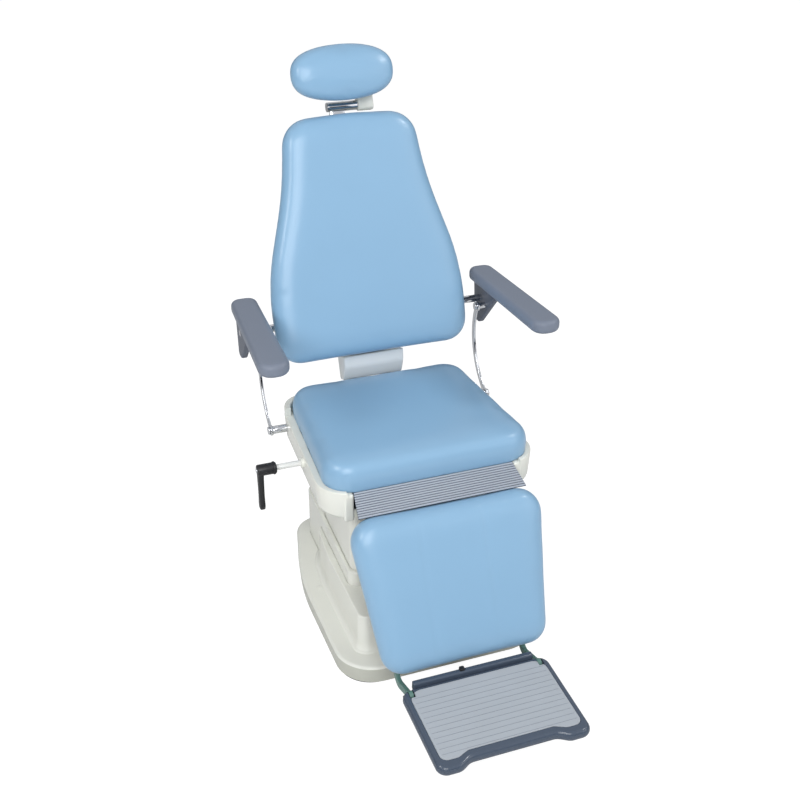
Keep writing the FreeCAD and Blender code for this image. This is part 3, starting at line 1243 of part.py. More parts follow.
def make_footrest():
    """Sloping frame with a notched front edge, its mat, pivot bolts and stop."""
    rear_y = foot_pivot_y + foot_rear_reach
    front_y = rear_y - foot_length
    top_z = foot_pivot_z + foot_top_rise
    frame_corners = both_sides([
        (foot_notch_half_width, front_y + foot_notch_depth, foot_notch_round),
        (foot_notch_top, front_y, foot_notch_round),
        (foot_half_width, front_y, foot_front_round),
        (foot_half_width, rear_y, foot_rear_round)])
    mat_front_y = front_y + mat_front_margin
    mat_corners = both_sides([
        (foot_notch_half_width, mat_front_y + mat_notch_depth, mat_round),
        (foot_notch_top, mat_front_y, mat_round),
        (foot_half_width - mat_margin, mat_front_y, mat_round),
        (foot_half_width - mat_margin, rear_y - mat_rear_margin, mat_round)])
    frame = rounded_slab(frame_corners, top_z - foot_thickness, top_z, foot_edge)
    mat_foot = top_z - mat_recess
    frame = frame.cut(prism(inset(mat_corners, -free_gap), mat_foot, top_z))
    mat = prism(mat_corners, mat_foot, mat_foot + mat_thickness)
    stop = box(-foot_stop_half_width, foot_stop_half_width, rear_y, rear_y + foot_stop_depth,
               top_z - foot_thickness / 2, top_z - foot_thickness / 2 + foot_stop_height)

    lowered = []
    for piece in (frame, mat, stop):
        piece.rotate(V(0, rear_y, top_z), V(1, 0, 0), foot_slope)
        lowered.append(piece)
    frame, mat, stop = lowered
    slot = box(leg_frame_half_width - foot_slot_gap,
               leg_frame_half_width + foot_bracket_thickness + foot_slot_gap,
               rear_y - foot_slot_depth, rear_y + foot_rear_reach,
               top_z - 2 * foot_thickness, top_z + foot_thickness)
    bolt = bar_x(foot_bolt_radius, leg_frame_half_width - foot_bolt_overhang,
                 leg_frame_half_width + foot_bracket_thickness + foot_bolt_overhang, foot_pivot_y, foot_pivot_z)
    bolt_bore = bar_x(foot_bolt_radius + fit_gap, leg_frame_half_width - foot_bolt_overhang,
                      leg_frame_half_width + foot_bracket_thickness + foot_bolt_overhang,
                      foot_pivot_y, foot_pivot_z)
    cutter = slot.fuse(bolt_bore)
    pieces["footrest_frame"] = frame.cut(cutter).cut(mirrored(cutter))
    mat_slot = slot.fuse(bolt_bore)
    pieces["footrest_mat"] = mat.cut(mat_slot).cut(mirrored(mat_slot))
    pieces["footrest_pivot_bolts"] = Part.makeCompound([bolt, mirrored(bolt)])
    pieces["footrest_stop"] = stop


make_base()
make_lift()
make_seat_pan()
make_seat_frame()
make_bellows()
make_lock()
make_backrest()
make_armrests()
make_headrest()
make_legrest()
make_footrest()

for name, shape in pieces.items():
    shape.exportStep("parts/" + name + ".step")
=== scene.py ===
"""Ear nose and throat chair: the looks of every piece, built over the frame of the CAD model."""
import bisect
import json
import logging
import math
from dataclasses import dataclass
from enum import Enum
from typing import Callable, Sequence

import bmesh
import bpy
from mathutils import Matrix, Vector


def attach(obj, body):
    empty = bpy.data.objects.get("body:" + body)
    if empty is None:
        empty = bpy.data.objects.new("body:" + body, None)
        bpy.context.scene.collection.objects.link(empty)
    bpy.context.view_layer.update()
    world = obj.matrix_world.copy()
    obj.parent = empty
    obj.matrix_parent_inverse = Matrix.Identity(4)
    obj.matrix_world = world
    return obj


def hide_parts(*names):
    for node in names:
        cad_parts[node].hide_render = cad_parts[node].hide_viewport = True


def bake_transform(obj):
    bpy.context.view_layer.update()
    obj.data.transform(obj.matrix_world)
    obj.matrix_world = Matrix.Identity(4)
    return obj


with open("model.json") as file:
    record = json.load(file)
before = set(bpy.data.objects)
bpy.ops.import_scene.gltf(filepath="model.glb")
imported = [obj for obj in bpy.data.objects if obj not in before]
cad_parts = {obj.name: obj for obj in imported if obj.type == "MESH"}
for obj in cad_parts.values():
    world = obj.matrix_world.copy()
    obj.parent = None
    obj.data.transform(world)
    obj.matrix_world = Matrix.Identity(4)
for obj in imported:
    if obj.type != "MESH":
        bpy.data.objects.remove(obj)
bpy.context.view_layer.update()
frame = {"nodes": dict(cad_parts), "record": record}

log = logging.getLogger("chair")
MM = 0.001
CRISP_EDGE = 38.0
MERGE_WITHIN = 1e-6
BAR_STEPS = 3
CLOUD_SCALE = 9.0
GRAIN_DETAIL = 3.0
GRAIN_TURN = 35.0
WOOD_DISTORTION = 6.0
GROUND_STRETCH = (0.06, 1.0, 1.0)
SHEEN_SPREAD = 0.1
Piece = bpy.types.Object
Place = Callable[[float, float, float], Vector]
Point = tuple[float, float]
Triple = tuple[float, float, float]


def level(x: float, y: float, height: float) -> Vector:
    """Places an outline drawn in plan at a height."""
    return Vector((x, y, height)) * MM


def across(y: float, z: float, x: float) -> Vector:
    """Places an outline drawn from the side at a position across the chair."""
    return Vector((x, y, z)) * MM


@dataclass(frozen=True)
class LeaningFrame:
    """Frame with s up a padded face and n out of it, leaning from an edge of the chair."""

    edge_y: float
    edge_z: float
    tilt: float

    def place(self, x: float, s: float, n: float) -> Vector:
        """Places an outline drawn on the face at a depth.

        Args:
            x: position across the chair.
            s: distance up the face.
            n: distance out of the face.

        Returns:
            The point in the chair, in metres.
        """
        lean = math.radians(self.tilt)
        y = self.edge_y + s * math.sin(lean) - n * math.cos(lean)
        z = self.edge_z + s * math.cos(lean) + n * math.sin(lean)
        return Vector((x, y, z)) * MM

    def place_across(self, s: float, n: float, x: float) -> Vector:
        """Places an outline drawn from the side of the face at a position across the chair."""
        return self.place(x, s, n)

    def depth(self, point: Vector) -> float:
        """How far a point lies out of the face, in millimetres."""
        lean = math.radians(self.tilt)
        out = (point.z / MM - self.edge_z) * math.sin(lean)
        return out - (point.y / MM - self.edge_y) * math.cos(lean)

    def outward(self) -> Vector:
        """Direction out of the face."""
        lean = math.radians(self.tilt)
        return Vector((0.0, -math.cos(lean), math.sin(lean)))


BACK = LeaningFrame(edge_y=154.0, edge_z=616.0, tilt=20.0)
LEG = LeaningFrame(edge_y=-316.0, edge_z=453.5, tilt=26.0)


@dataclass(frozen=True)
class Corner:
    """Corner of an outline and the radius that rounds it."""

    u: float
    v: float
    radius: float = 0.0


class Outline:
    """Closed outline of straight sides and rounded corners, listed anticlockwise, in millimetres."""

    arc_steps: int = 14
    side_step: float = 22.0
    corner_share: float = 0.45
    least_round: float = 1.5
    least_cross: float = 1e-9

    def __init__(self, corners: Sequence[Corner]) -> None:
        """Keeps the corners of the outline."""
        self.corners = list(corners)

    @classmethod
    def both_sides(cls, *right_half: Corner) -> "Outline":
        """Full outline from its right half, listed from low to high."""
        left_half = [Corner(-c.u, c.v, c.radius) for c in reversed(right_half) if c.u > 0]
        return cls(list(right_half) + left_half)

    @classmethod
    def rectangle(cls, low: Sequence[float], high: Sequence[float], *radii: float) -> "Outline":
        """Rectangle between two corners.

        Args:
            low: corner with the least u and v.
            high: corner opposite to it.
            radii: radius of all corners, or of the two low and then of the two high ones.

        Returns:
            The outline.
        """
        return cls([Corner(low[0], low[1], radii[0]), Corner(high[0], low[1], radii[0]),
                    Corner(high[0], high[1], radii[-1]), Corner(low[0], high[1], radii[-1])])

    def inset(self, distance: float) -> "Outline":
        """The outline drawn in.

        Args:
            distance: how far; a negative one grows the outline.

        Returns:
            The new outline.
        """
        moved = []
        for index, corner in enumerate(self.corners):
            before_corner = self.corners[index - 1]
            after_corner = self.corners[(index + 1) % len(self.corners)]
            before = Vector((corner.u - before_corner.u, corner.v - before_corner.v)).normalized()
            after = Vector((after_corner.u - corner.u, after_corner.v - corner.v)).normalized()
            share = distance / (1 + before.dot(after))
            u = corner.u + (-before.y - after.y) * share
            v = corner.v + (before.x + after.x) * share
            outward_turn = before.x * after.y - before.y * after.x >= 0
            kept = corner.radius - distance if outward_turn else corner.radius + distance
            moved.append(Corner(u, v, max(kept, self.least_round)))
        return Outline(moved)

    def _arc(self, index: int) -> list[Point]:
        """Points of one rounded corner.

        Args:
            index: which corner.

        Returns:
            Points from the side before the corner to the side after it.
        """
        corner = self.corners[index]
        here = Vector((corner.u, corner.v))
        before = Vector((self.corners[index - 1].u, self.corners[index - 1].v)) - here
        following = self.corners[(index + 1) % len(self.corners)]
        after = Vector((following.u, following.v)) - here
        if corner.radius <= 0:
            return [(here.x, here.y)]
        half = before.angle(after) / 2
        longest = self.corner_share * min(before.length, after.length)
        tangent = min(corner.radius / math.tan(half), longest)
        radius = tangent * math.tan(half)
        start = here + before.normalized() * tangent
        end = here + after.normalized() * tangent
        centre = here + (before.normalized() + after.normalized()).normalized() * (radius / math.sin(half))
        first = start - centre
        turn = first.angle_signed(end - centre)
        points = []
        for step in range(self.arc_steps + 1):
            arm = Matrix.Rotation(-turn * step / self.arc_steps, 2) @ first
            points.append((centre.x + arm.x, centre.y + arm.y))
        return points

    def points(self) -> list[Point]:
        """Points along the whole outline, close together on its arcs.

        Returns:
            The points in order, without the first one again at the end.
        """
        arcs = [self._arc(index) for index in range(len(self.corners))]
        points: list[Point] = []
        for index, arc in enumerate(arcs):
            points.extend(arc)
            start = Vector(arc[-1])
            run = Vector(arcs[(index + 1) % len(arcs)][0]) - start
            pieces = int(run.length / self.side_step) + 1
            for piece in range(1, pieces):
                spot = start + run * (piece / pieces)
                points.append((spot.x, spot.y))
        return points

    def at(self, angles: Sequence[float], middle: Point) -> list[Point]:
        """Where rays from a middle point cross the outline.

        Args:
            angles: directions of the rays, in rising order.
            middle: point inside the outline that sees all of it.

        Returns:
            One point for each ray.
        """
        polar = sorted((math.atan2(v - middle[1], u - middle[0]), u, v) for u, v in self.points())
        keys = [entry[0] for entry in polar]
        crossings = []
        for angle in angles:
            place = bisect.bisect(keys, angle)
            low = Vector(polar[place - 1][1:]) - Vector(middle)
            high = Vector(polar[place % len(polar)][1:]) - Vector(middle)
            side = high - low
            ray = Vector((math.cos(angle), math.sin(angle)))
            crossing = ray.cross(side)
            reach = low.cross(side) / crossing if abs(crossing) > self.least_cross else low.length
            crossings.append((middle[0] + ray.x * reach, middle[1] + ray.y * reach))
        return crossings


class Round(Outline):
    """Circle used as an outline."""

    sides: int = 56

    def __init__(self, radius: float, u: float = 0.0, v: float = 0.0) -> None:
        """Keeps the radius and the centre."""
        self.radius = radius
        self.u = u
        self.v = v

    def inset(self, distance: float) -> "Round":
        """The circle drawn in by a distance."""
        return Round(self.radius - distance, self.u, self.v)

    def points(self) -> list[Point]:
        """Points round the circle."""
        turns = [2 * math.pi * step / self.sides for step in range(self.sides)]
        return [(self.u + self.radius * math.cos(t), self.v + self.radius * math.sin(t)) for t in turns]


class Oval(Outline):
    """Full oval used as an outline."""

    sides: int = 72
    fullness: float = 2.5
    least_half: float = 4.0

    def __init__(self, half_u: float, half_v: float, v: float) -> None:
        """Keeps the half sizes and the height of the centre."""
        self.half_u = half_u
        self.half_v = half_v
        self.v = v

    def inset(self, distance: float) -> "Oval":
        """The oval drawn in by a distance."""
        half_u = max(self.half_u - distance, self.least_half)
        half_v = max(self.half_v - distance, self.least_half)
        return Oval(half_u, half_v, self.v)

    def points(self) -> list[Point]:
        """Points round the oval.

        Returns:
            The points in order, without the first one again at the end.
        """
        points = []
        power = 2 / self.fullness
        for step in range(self.sides):
            turn = 2 * math.pi * step / self.sides
            u = math.copysign(abs(math.cos(turn)) ** power, math.cos(turn)) * self.half_u
            v = math.copysign(abs(math.sin(turn)) ** power, math.sin(turn)) * self.half_v
            points.append((u, self.v + v))
        return points


Section = tuple[Outline, float]


def round_over(outline: Outline, start: float, end: float, depth: float, steps: int = 6) -> list[Section]:
    """Sections of a rounded edge, from the side of a piece to its flat end.

    Args:
        outline: outline at the side.
        start: height where the round leaves the side.
        end: height of the flat end.
        depth: how far the round draws in.
        steps: number of strips.

    Returns:
        Sections from the side to the flat.
    """
    sections = []
    for step in range(steps + 1):
        turn = math.pi / 2 * step / steps
        drawn_in = outline.inset(depth * (1 - math.cos(turn)))
        sections.append((drawn_in, start + (end - start) * math.sin(turn)))
    return sections


def both_ends(outline: Outline, foot: float, top: float, edge: float, steps: int = 6) -> list[Section]:
    """Sections of a piece that is rounded at both of its flat ends.

    Args:
        outline: outline at the side.
        foot: height of the lower end.
        top: height of the upper end.
        edge: radius of the rounding.
        steps: number of strips of each rounding.

    Returns:
        Sections from the lower to the upper end.
    """
    sections = list(reversed(round_over(outline, foot + edge, foot, edge, steps)))
    return sections + round_over(outline, top - edge, top, edge, steps)


def cove(outline: Outline, low: float, high: float, reach: float, steps: int = 7) -> list[Section]:
    """Sections of a hollow round that sweeps from a flat up into a wall.

    Args:
        outline: outline of the wall at its foot.
        low: height of the flat.
        high: height where the sweep has become the wall.
        reach: how far out the sweep starts.
        steps: number of strips.

    Returns:
        Sections from the flat to the wall.
    """
    sections = []
    for step in range(steps + 1):
        turn = math.pi / 2 * step / steps
        drawn_out = outline.inset(-reach * (1 - math.sin(turn)))
        sections.append((drawn_out, low + (high - low) * (1 - math.cos(turn))))
    return sections


def in_scene(name: str, data: bpy.types.ID) -> Piece:
    """Links a new object into the scene."""
    made = bpy.data.objects.new(name, data)
    bpy.context.scene.collection.objects.link(made)
    return made


def soften(mesh: bpy.types.Mesh) -> None:
    """Smooth shading, with edges over an angle left crisp."""
    mesh.polygons.foreach_set("use_smooth", [True] * len(mesh.polygons))
    mesh.set_sharp_from_angle(angle=math.radians(CRISP_EDGE))


def as_object(name: str, shape: bmesh.types.BMesh) -> Piece:
    """Makes a smooth-shaded object of a shape.

    Args:
        name: name of the piece.
        shape: its mesh, which is used up.

    Returns:
        The object, in the scene.
    """
    mesh = bpy.data.meshes.new(name)
    shape.to_mesh(mesh)
    shape.free()
    soften(mesh)
    return in_scene(name, mesh)


def skin(name: str, rings: Sequence[Sequence[Vector]], hollow: bool = False) -> Piece:
    """Covers a stack of rings with faces that point outward.

    Args:
        name: name of the piece.
        rings: points of each ring, as many in one as in the next.
        hollow: joins the last ring to the first, in place of a face at each end.

    Returns:
        The finished object.
    """
    shape = bmesh.new()
    loops = [[shape.verts.new(point) for point in ring] for ring in rings]
    pairs = list(zip(loops, loops[1:]))
    if hollow:
        pairs.append((loops[-1], loops[0]))
    count = len(loops[0])
    for low, high in pairs:
        for index in range(count):
            after = (index + 1) % count
            shape.faces.new((low[index], low[after], high[after], high[index]))
    if not hollow:
        shape.faces.new(loops[0])
        shape.faces.new(loops[-1])
    bmesh.ops.remove_doubles(shape, verts=shape.verts, dist=MERGE_WITHIN)
    bmesh.ops.recalc_face_normals(shape, faces=shape.faces)
    return as_object(name, shape)


@dataclass
class Loft:
    """Skin through a stack of outlines seen from one middle point."""

    sections: list[Section]
    guides: Sequence[Outline] = ()
    hollow: bool = False
    middle: Point = (0.0, 0.0)
    cap_margin: float = 1.2
    least_turn: float = 0.004

    def _angles(self) -> list[float]:
        """Directions in which the outlines that guide the skin have points.

        Returns:
            The angles in rising order.
        """
        guides = self.guides or (self.sections[0][0], self.sections[-1][0])
        turns = []
        for guide in guides:
            turns.extend(math.atan2(v - self.middle[1], u - self.middle[0]) for u, v in guide.points())
        kept: list[float] = []
        for turn in sorted(turns):
            if not kept or turn - kept[-1] > self.least_turn:
                kept.append(turn)
        return kept

    def build(self, name: str, place: Place) -> Piece:
        """Makes the piece.

        Args:
            name: name of the piece.
            place: maps (u, v, height) to the chair.

        Returns:
            The finished object.
        """
        angles = self._angles()
        stack = list(self.sections)
        if not self.hollow:
            first, last = stack[0], stack[-1]
            stack.insert(0, (first[0].inset(self.cap_margin), first[1]))
            stack.append((last[0].inset(self.cap_margin), last[1]))
        rings = []
        for outline, height in stack:
            rings.append([place(u, v, height) for u, v in outline.at(angles, self.middle)])
        return skin(name, rings, self.hollow)


@dataclass
class Slab:
    """Flat piece of any outline with rounded edges."""

    points: list[Point]
    foot: float
    top: float
    edge: float = 1.0
    steps: int = 4
    least_share: float = 0.2

    def _drawn_in(self, distance: float) -> list[Point]:
        """The outline drawn in by a distance.

        Args:
            distance: how far.

        Returns:
            As many points as the outline has.
        """
        count = len(self.points)
        moved = []
        for index in range(count):
            here = Vector(self.points[index])
            before = (here - Vector(self.points[index - 1])).normalized()
            after = (Vector(self.points[(index + 1) % count]) - here).normalized()
            share = distance / max(1 + before.dot(after), self.least_share)
            moved.append((here.x - (before.y + after.y) * share, here.y + (before.x + after.x) * share))
        return moved

    def build(self, name: str, place: Place) -> Piece:
        """Makes the piece.

        Args:
            name: name of the piece.
            place: maps (u, v, height) to the chair.

        Returns:
            The finished object.
        """
        rows = []
        for step in range(self.steps + 1):
            turn = math.pi / 2 * step / self.steps
            rows.append((self.edge * (1 - math.sin(turn)), self.edge * (1 - math.cos(turn))))
        stack = [(inset, self.foot + lift) for inset, lift in rows]
        stack += [(inset, self.top - lift) for inset, lift in reversed(rows)]
        rings = [[place(u, v, height) for u, v in self._drawn_in(inset)] for inset, height in stack]
        return skin(name, rings)


def bar(name: str, radius: float, start: float, end: float, place: Place,
        edge: float = 1.0) -> Piece:
    """Round bar with softened ends.

    Args:
        name: name of the piece.
        radius: its radius.
        start: where it starts along its axis.
        end: where it ends.
        place: maps (u, v, height) to the chair, with the axis through u = v = 0.
        edge: radius of the softened ends.

    Returns:
        The finished object.
    """
    circle = Round(radius)
    return Loft(both_ends(circle, start, end, edge, BAR_STEPS), guides=(circle,)).build(name, place)


def along_x(y: float, z: float) -> Place:
    """Place for a bar along X through a point of the side view.

    Args:
        y: Y of the axis.
        z: Z of the axis.

    Returns:
        The place, whose height runs along X.
    """
    def placed(u: float, v: float, height: float) -> Vector:
        """Places a point of the bar."""
        return Vector((height, y + u, z + v)) * MM
    return placed


def join(name: str, *pieces: Piece) -> Piece:
    """Joins pieces of one material into one object.

    Args:
        name: name of the new piece.
        pieces: objects to join, which are removed.

    Returns:
        The joined object.
    """
    shape = bmesh.new()
    for piece in pieces:
        shape.from_mesh(piece.data)
        bpy.data.objects.remove(piece)
    return as_object(name, shape)


def settle(piece: Piece) -> None:
    """Works the modifiers of a piece into its mesh.

    Args:
        piece: object with modifiers.
    """
    bpy.context.view_layer.update()
    graph = bpy.context.evaluated_depsgraph_get()
    mesh = bpy.data.meshes.new_from_object(piece.evaluated_get(graph))
    piece.modifiers.clear()
    old = piece.data
    piece.data = mesh
    mesh.name = piece.name
    bpy.data.meshes.remove(old)


def carve(piece: Piece, *cutters: Piece, keep: bool = False) -> Piece:
    """Cuts shapes out of a piece, or keeps only what lies inside them.

    Args:
        piece: object to cut.
        cutters: closed shapes, which are removed.
        keep: keeps what lies inside the cutters.

    Returns:
        The same piece.
    """
    for cutter in cutters:
        cut = piece.modifiers.new("cut", "BOOLEAN")
        cut.operation = "INTERSECT" if keep else "DIFFERENCE"
        cut.solver = "EXACT"
        cut.object = cutter
    settle(piece)
    for cutter in cutters:
        bpy.data.objects.remove(cutter)
    soften(piece.data)
    return piece


def block(name: str, low: Sequence[float], high: Sequence[float], edge: float = 0.4) -> Piece:
    """Upright block with softened edges between two corners."""
    outline = Outline.rectangle(low, high, edge)
    return Slab(outline.points(), low[2], high[2], edge).build(name, level)


def mirrored(piece: Piece, name: str) -> Piece:
    """Copy of a piece on the other side of the chair, with its faces outward.

    Args:
        piece: object to copy.
        name: name of the copy.

    Returns:
        The copy.
    """
    shape = bmesh.new()
    shape.from_mesh(piece.data)
    bmesh.ops.scale(shape, vec=(-1.0, 1.0, 1.0), verts=shape.verts)
    bmesh.ops.reverse_faces(shape, faces=shape.faces)
    return as_object(name, shape)


class Grain(Enum):
    """Fine surface of a material, with the scale of its pattern."""

    VINYL = 1100.0
    MOULDED = 240.0
    SATIN = 700.0
    RIBBED = 420.0
    GROUND = 500.0
    CAST = 320.0
    WOOD = 45.0


def to_linear(channel: int) -> float:
    """One sRGB channel, 0 to 255, as linear light."""
    share = channel / 255.0
    return share / 12.92 if share <= 0.04045 else ((share + 0.055) / 1.055) ** 2.4


@dataclass(frozen=True)
class Finish:
    """Look of one material slot: a tint that wanders a little, a grain and a sheen."""

    slot: str
    tint: tuple[int, int, int]
    roughness: float
    grain: Grain
    metallic: float = 0.0
    drift: float = 0.03
    relief: float = 0.05
    coat: float = 0.0
    specular: float = 0.5

    def _shade(self, factor: float) -> tuple[float, float, float, float]:
        """The tint made lighter or darker."""
        red, green, blue = (min(to_linear(channel) * factor, 1.0) for channel in self.tint)
        return red, green, blue, 1.0

    def _pattern(self, tree: bpy.types.NodeTree, coordinates: bpy.types.NodeSocket) -> bpy.types.NodeSocket:
        """Adds the grain.

        Args:
            tree: tree of the material.
            coordinates: socket with the Object coordinates.

        Returns:
            The socket with the height of the grain.
        """
        mapping = tree.nodes.new("ShaderNodeMapping")
        tree.links.new(coordinates, mapping.inputs["Vector"])
        if self.grain in (Grain.WOOD, Grain.RIBBED):
            texture = tree.nodes.new("ShaderNodeTexWave")
            texture.inputs["Distortion"].default_value = WOOD_DISTORTION if self.grain is Grain.WOOD else 0.0
            mapping.inputs["Rotation"].default_value = (0.0, 0.0, math.radians(GRAIN_TURN))
        else:
            texture = tree.nodes.new("ShaderNodeTexNoise")
            texture.inputs["Detail"].default_value = GRAIN_DETAIL
        if self.grain is Grain.GROUND:
            mapping.inputs["Scale"].default_value = GROUND_STRETCH
        texture.inputs["Scale"].default_value = self.grain.value
        tree.links.new(mapping.outputs["Vector"], texture.inputs["Vector"])
        return texture.outputs["Fac"]

    def material(self) -> bpy.types.Material:
        """The material of this finish, made on its first use.

        Returns:
            The material.
        """
        name = self.slot + "_finish"
        found = bpy.data.materials.get(name)
        if found:
            return found
        material = bpy.data.materials.new(name)
        material.use_nodes = True
        tree = material.node_tree
        shader = tree.nodes["Principled BSDF"]
        coordinates = tree.nodes.new("ShaderNodeTexCoord").outputs["Object"]
        cloud = tree.nodes.new("ShaderNodeTexNoise")
        cloud.inputs["Scale"].default_value = CLOUD_SCALE
        tree.links.new(coordinates, cloud.inputs["Vector"])
        ramp = tree.nodes.new("ShaderNodeValToRGB")
        ramp.color_ramp.elements[0].color = self._shade(1 - self.drift)
        ramp.color_ramp.elements[1].color = self._shade(1 + self.drift)
        tree.links.new(cloud.outputs["Fac"], ramp.inputs["Fac"])
        tree.links.new(ramp.outputs["Color"], shader.inputs["Base Color"])
        height = self._pattern(tree, coordinates)
        sheen = tree.nodes.new("ShaderNodeMapRange")
        sheen.inputs["To Min"].default_value = self.roughness * (1 - SHEEN_SPREAD)
        sheen.inputs["To Max"].default_value = self.roughness * (1 + SHEEN_SPREAD)
        tree.links.new(height, sheen.inputs["Value"])
        tree.links.new(sheen.outputs["Result"], shader.inputs["Roughness"])
        bump = tree.nodes.new("ShaderNodeBump")
        bump.inputs["Strength"].default_value = self.relief
        bump.inputs["Distance"].default_value = MM
        tree.links.new(height, bump.inputs["Height"])
        tree.links.new(bump.outputs["Normal"], shader.inputs["Normal"])
        shader.inputs["Metallic"].default_value = self.metallic
        shader.inputs["Coat Weight"].default_value = self.coat
        shader.inputs["Specular IOR Level"].default_value = self.specular
        return material


FINISHES = {finish.slot: finish for finish in (
    Finish("upholstery", (136, 175, 206), 0.30, Grain.VINYL, relief=0.02, drift=0.015, specular=0.50),
    Finish("cream_plastic", (227, 228, 220), 0.20, Grain.MOULDED, relief=0.006, drift=0.012, specular=0.40),
    Finish("armrest_grey", (120, 128, 143), 0.40, Grain.SATIN, relief=0.03, specular=0.30),
    Finish("footrest_slate", (71, 82, 98), 0.18, Grain.SATIN, relief=0.01, specular=0.40),
    Finish("mat_grey", (171, 177, 184), 0.70, Grain.RIBBED, relief=0.12, specular=0.15),
    Finish("mat_line", (140, 147, 157), 0.70, Grain.SATIN, relief=0.03, specular=0.15),
    Finish("bellows_grey", (170, 177, 188), 0.55, Grain.SATIN, relief=0.03, specular=0.2),
    Finish("bracket_green", (88, 124, 116), 0.40, Grain.SATIN, relief=0.03),
    Finish("black_plastic", (24, 24, 27), 0.42, Grain.SATIN, relief=0.03),
    Finish("chrome", (208, 210, 214), 0.10, Grain.GROUND, metallic=1.0, relief=0.004),
    Finish("white_paint", (226, 227, 224), 0.35, Grain.MOULDED, relief=0.01),
    Finish("bright_steel", (165, 166, 168), 0.30, Grain.GROUND, metallic=1.0, relief=0.02),
    Finish("cast_aluminium", (172, 174, 177), 0.50, Grain.CAST, metallic=1.0, relief=0.10),
    Finish("frame_paint", (52, 54, 58), 0.50, Grain.CAST, relief=0.05),
    Finish("plywood", (190, 158, 116), 0.60, Grain.WOOD, relief=0.05, drift=0.08),
    # Painted light: a whiter cream for the spine cover, so that it looks lit though the back cushion shades
    # it.
    Finish("spine_white", (238, 241, 241), 0.22, Grain.MOULDED, relief=0.006, drift=0.01, specular=0.40),
    # Painted shade: a darker cream for the upright band of the base, which lies in shade.
    Finish("skirt_cream", (190, 191, 181), 0.26, Grain.MOULDED, relief=0.006, drift=0.012, specular=0.35),
    Finish("lining", (58, 60, 66), 0.80, Grain.SATIN, relief=0.06, specular=0.15),
    # Painted shade: a darker grey for the armrest wedges, which lie in the shade of the pads.
    Finish("wedge_grey", (92, 98, 111), 0.40, Grain.SATIN, relief=0.03, specular=0.30),
    # Painted shade: dark grey for the bellows backing and flange, standing in for the shade in the grooves.
    Finish("groove_dark", (66, 72, 86), 0.70, Grain.SATIN, relief=0.04, specular=0.1),
)}


def dress(piece: Piece, body: str, slot: str, *nodes: str, look: str = "") -> Piece:
    """Gives a finished piece its material, its body and the CAD nodes that it stands for.

    Args:
        piece: finished mesh object.
        body: CAD body that it moves with.
        slot: material slot of the record.
        nodes: CAD nodes that it replaces.
        look: finish to use, where it isn't the one of the slot.

    Returns:
        The same piece.
    """
    piece.data.materials.clear()
    piece.data.materials.append(FINISHES[look or slot].material())
    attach(piece, body)
    if nodes:
        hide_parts(*nodes)
    log.info("%s: %d faces on %s", piece.name, len(piece.data.polygons), body)
    return piece


@dataclass(frozen=True)
class Spot:
    """Place, facing turn and size of one repeated piece."""

    place: Vector
    turn: Triple = (0.0, 0.0, 0.0)
    size: Triple = (1.0, 1.0, 1.0)


class Pattern:
    """Geometry Nodes tree that sets one shape on many spots."""

    def __init__(self) -> None:
        """Builds the tree."""
        self.tree = bpy.data.node_groups.new("pattern", "GeometryNodeTree")
        face = self.tree.interface
        face.new_socket("Spots", in_out="INPUT", socket_type="NodeSocketGeometry")
        self.shape_socket = face.new_socket("Shape", in_out="INPUT", socket_type="NodeSocketObject")
        self.look_socket = face.new_socket("Look", in_out="INPUT", socket_type="NodeSocketMaterial")
        face.new_socket("Copies", in_out="OUTPUT", socket_type="NodeSocketGeometry")
        nodes, links = self.tree.nodes, self.tree.links
        entry = nodes.new("NodeGroupInput")
        shape = nodes.new("GeometryNodeObjectInfo")
        turn, size = (nodes.new("GeometryNodeInputNamedAttribute") for label in ("turn", "size"))
        for reader, label in ((turn, "turn"), (size, "size")):
            reader.data_type = "FLOAT_VECTOR"
            reader.inputs["Name"].default_value = label
        rotation = nodes.new("FunctionNodeEulerToRotation")
        copies = nodes.new("GeometryNodeInstanceOnPoints")
        real = nodes.new("GeometryNodeRealizeInstances")
        paint = nodes.new("GeometryNodeSetMaterial")
        leave = nodes.new("NodeGroupOutput")
        links.new(entry.outputs["Spots"], copies.inputs["Points"])
        links.new(entry.outputs["Shape"], shape.inputs["Object"])
        links.new(shape.outputs["Geometry"], copies.inputs["Instance"])
        links.new(turn.outputs["Attribute"], rotation.inputs["Euler"])
        links.new(rotation.outputs["Rotation"], copies.inputs["Rotation"])
        links.new(size.outputs["Attribute"], copies.inputs["Scale"])
        links.new(copies.outputs["Instances"], real.inputs["Geometry"])
        links.new(real.outputs["Geometry"], paint.inputs["Geometry"])
        links.new(entry.outputs["Look"], paint.inputs["Material"])
        links.new(paint.outputs["Geometry"], leave.inputs["Copies"])

    def lay(self, name: str, shape: Piece, spots: Sequence[Spot], slot: str) -> Piece:
        """Sets the shape on the spots and makes one plain mesh of the copies.

        Args:
            name: name of the new piece.
            shape: object to repeat, which is removed.
            spots: where the copies go.
            slot: finish of the copies.

        Returns:
            The object that holds all copies.
        """
        mesh = bpy.data.meshes.new(name)
        mesh.from_pydata([spot.place for spot in spots], [], [])
        turns, sizes = [spot.turn for spot in spots], [spot.size for spot in spots]
        for label, values in (("turn", turns), ("size", sizes)):
            attribute = mesh.attributes.new(label, "FLOAT_VECTOR", "POINT")
            attribute.data.foreach_set("vector", [number for value in values for number in value])
        piece = in_scene(name, mesh)
        nodes = piece.modifiers.new("pattern", "NODES")
        nodes.node_group = self.tree
        nodes[self.shape_socket.identifier] = shape
        nodes[self.look_socket.identifier] = FINISHES[slot].material()
        settle(piece)
        bpy.data.objects.remove(shape)
        soften(piece.data)
        return piece


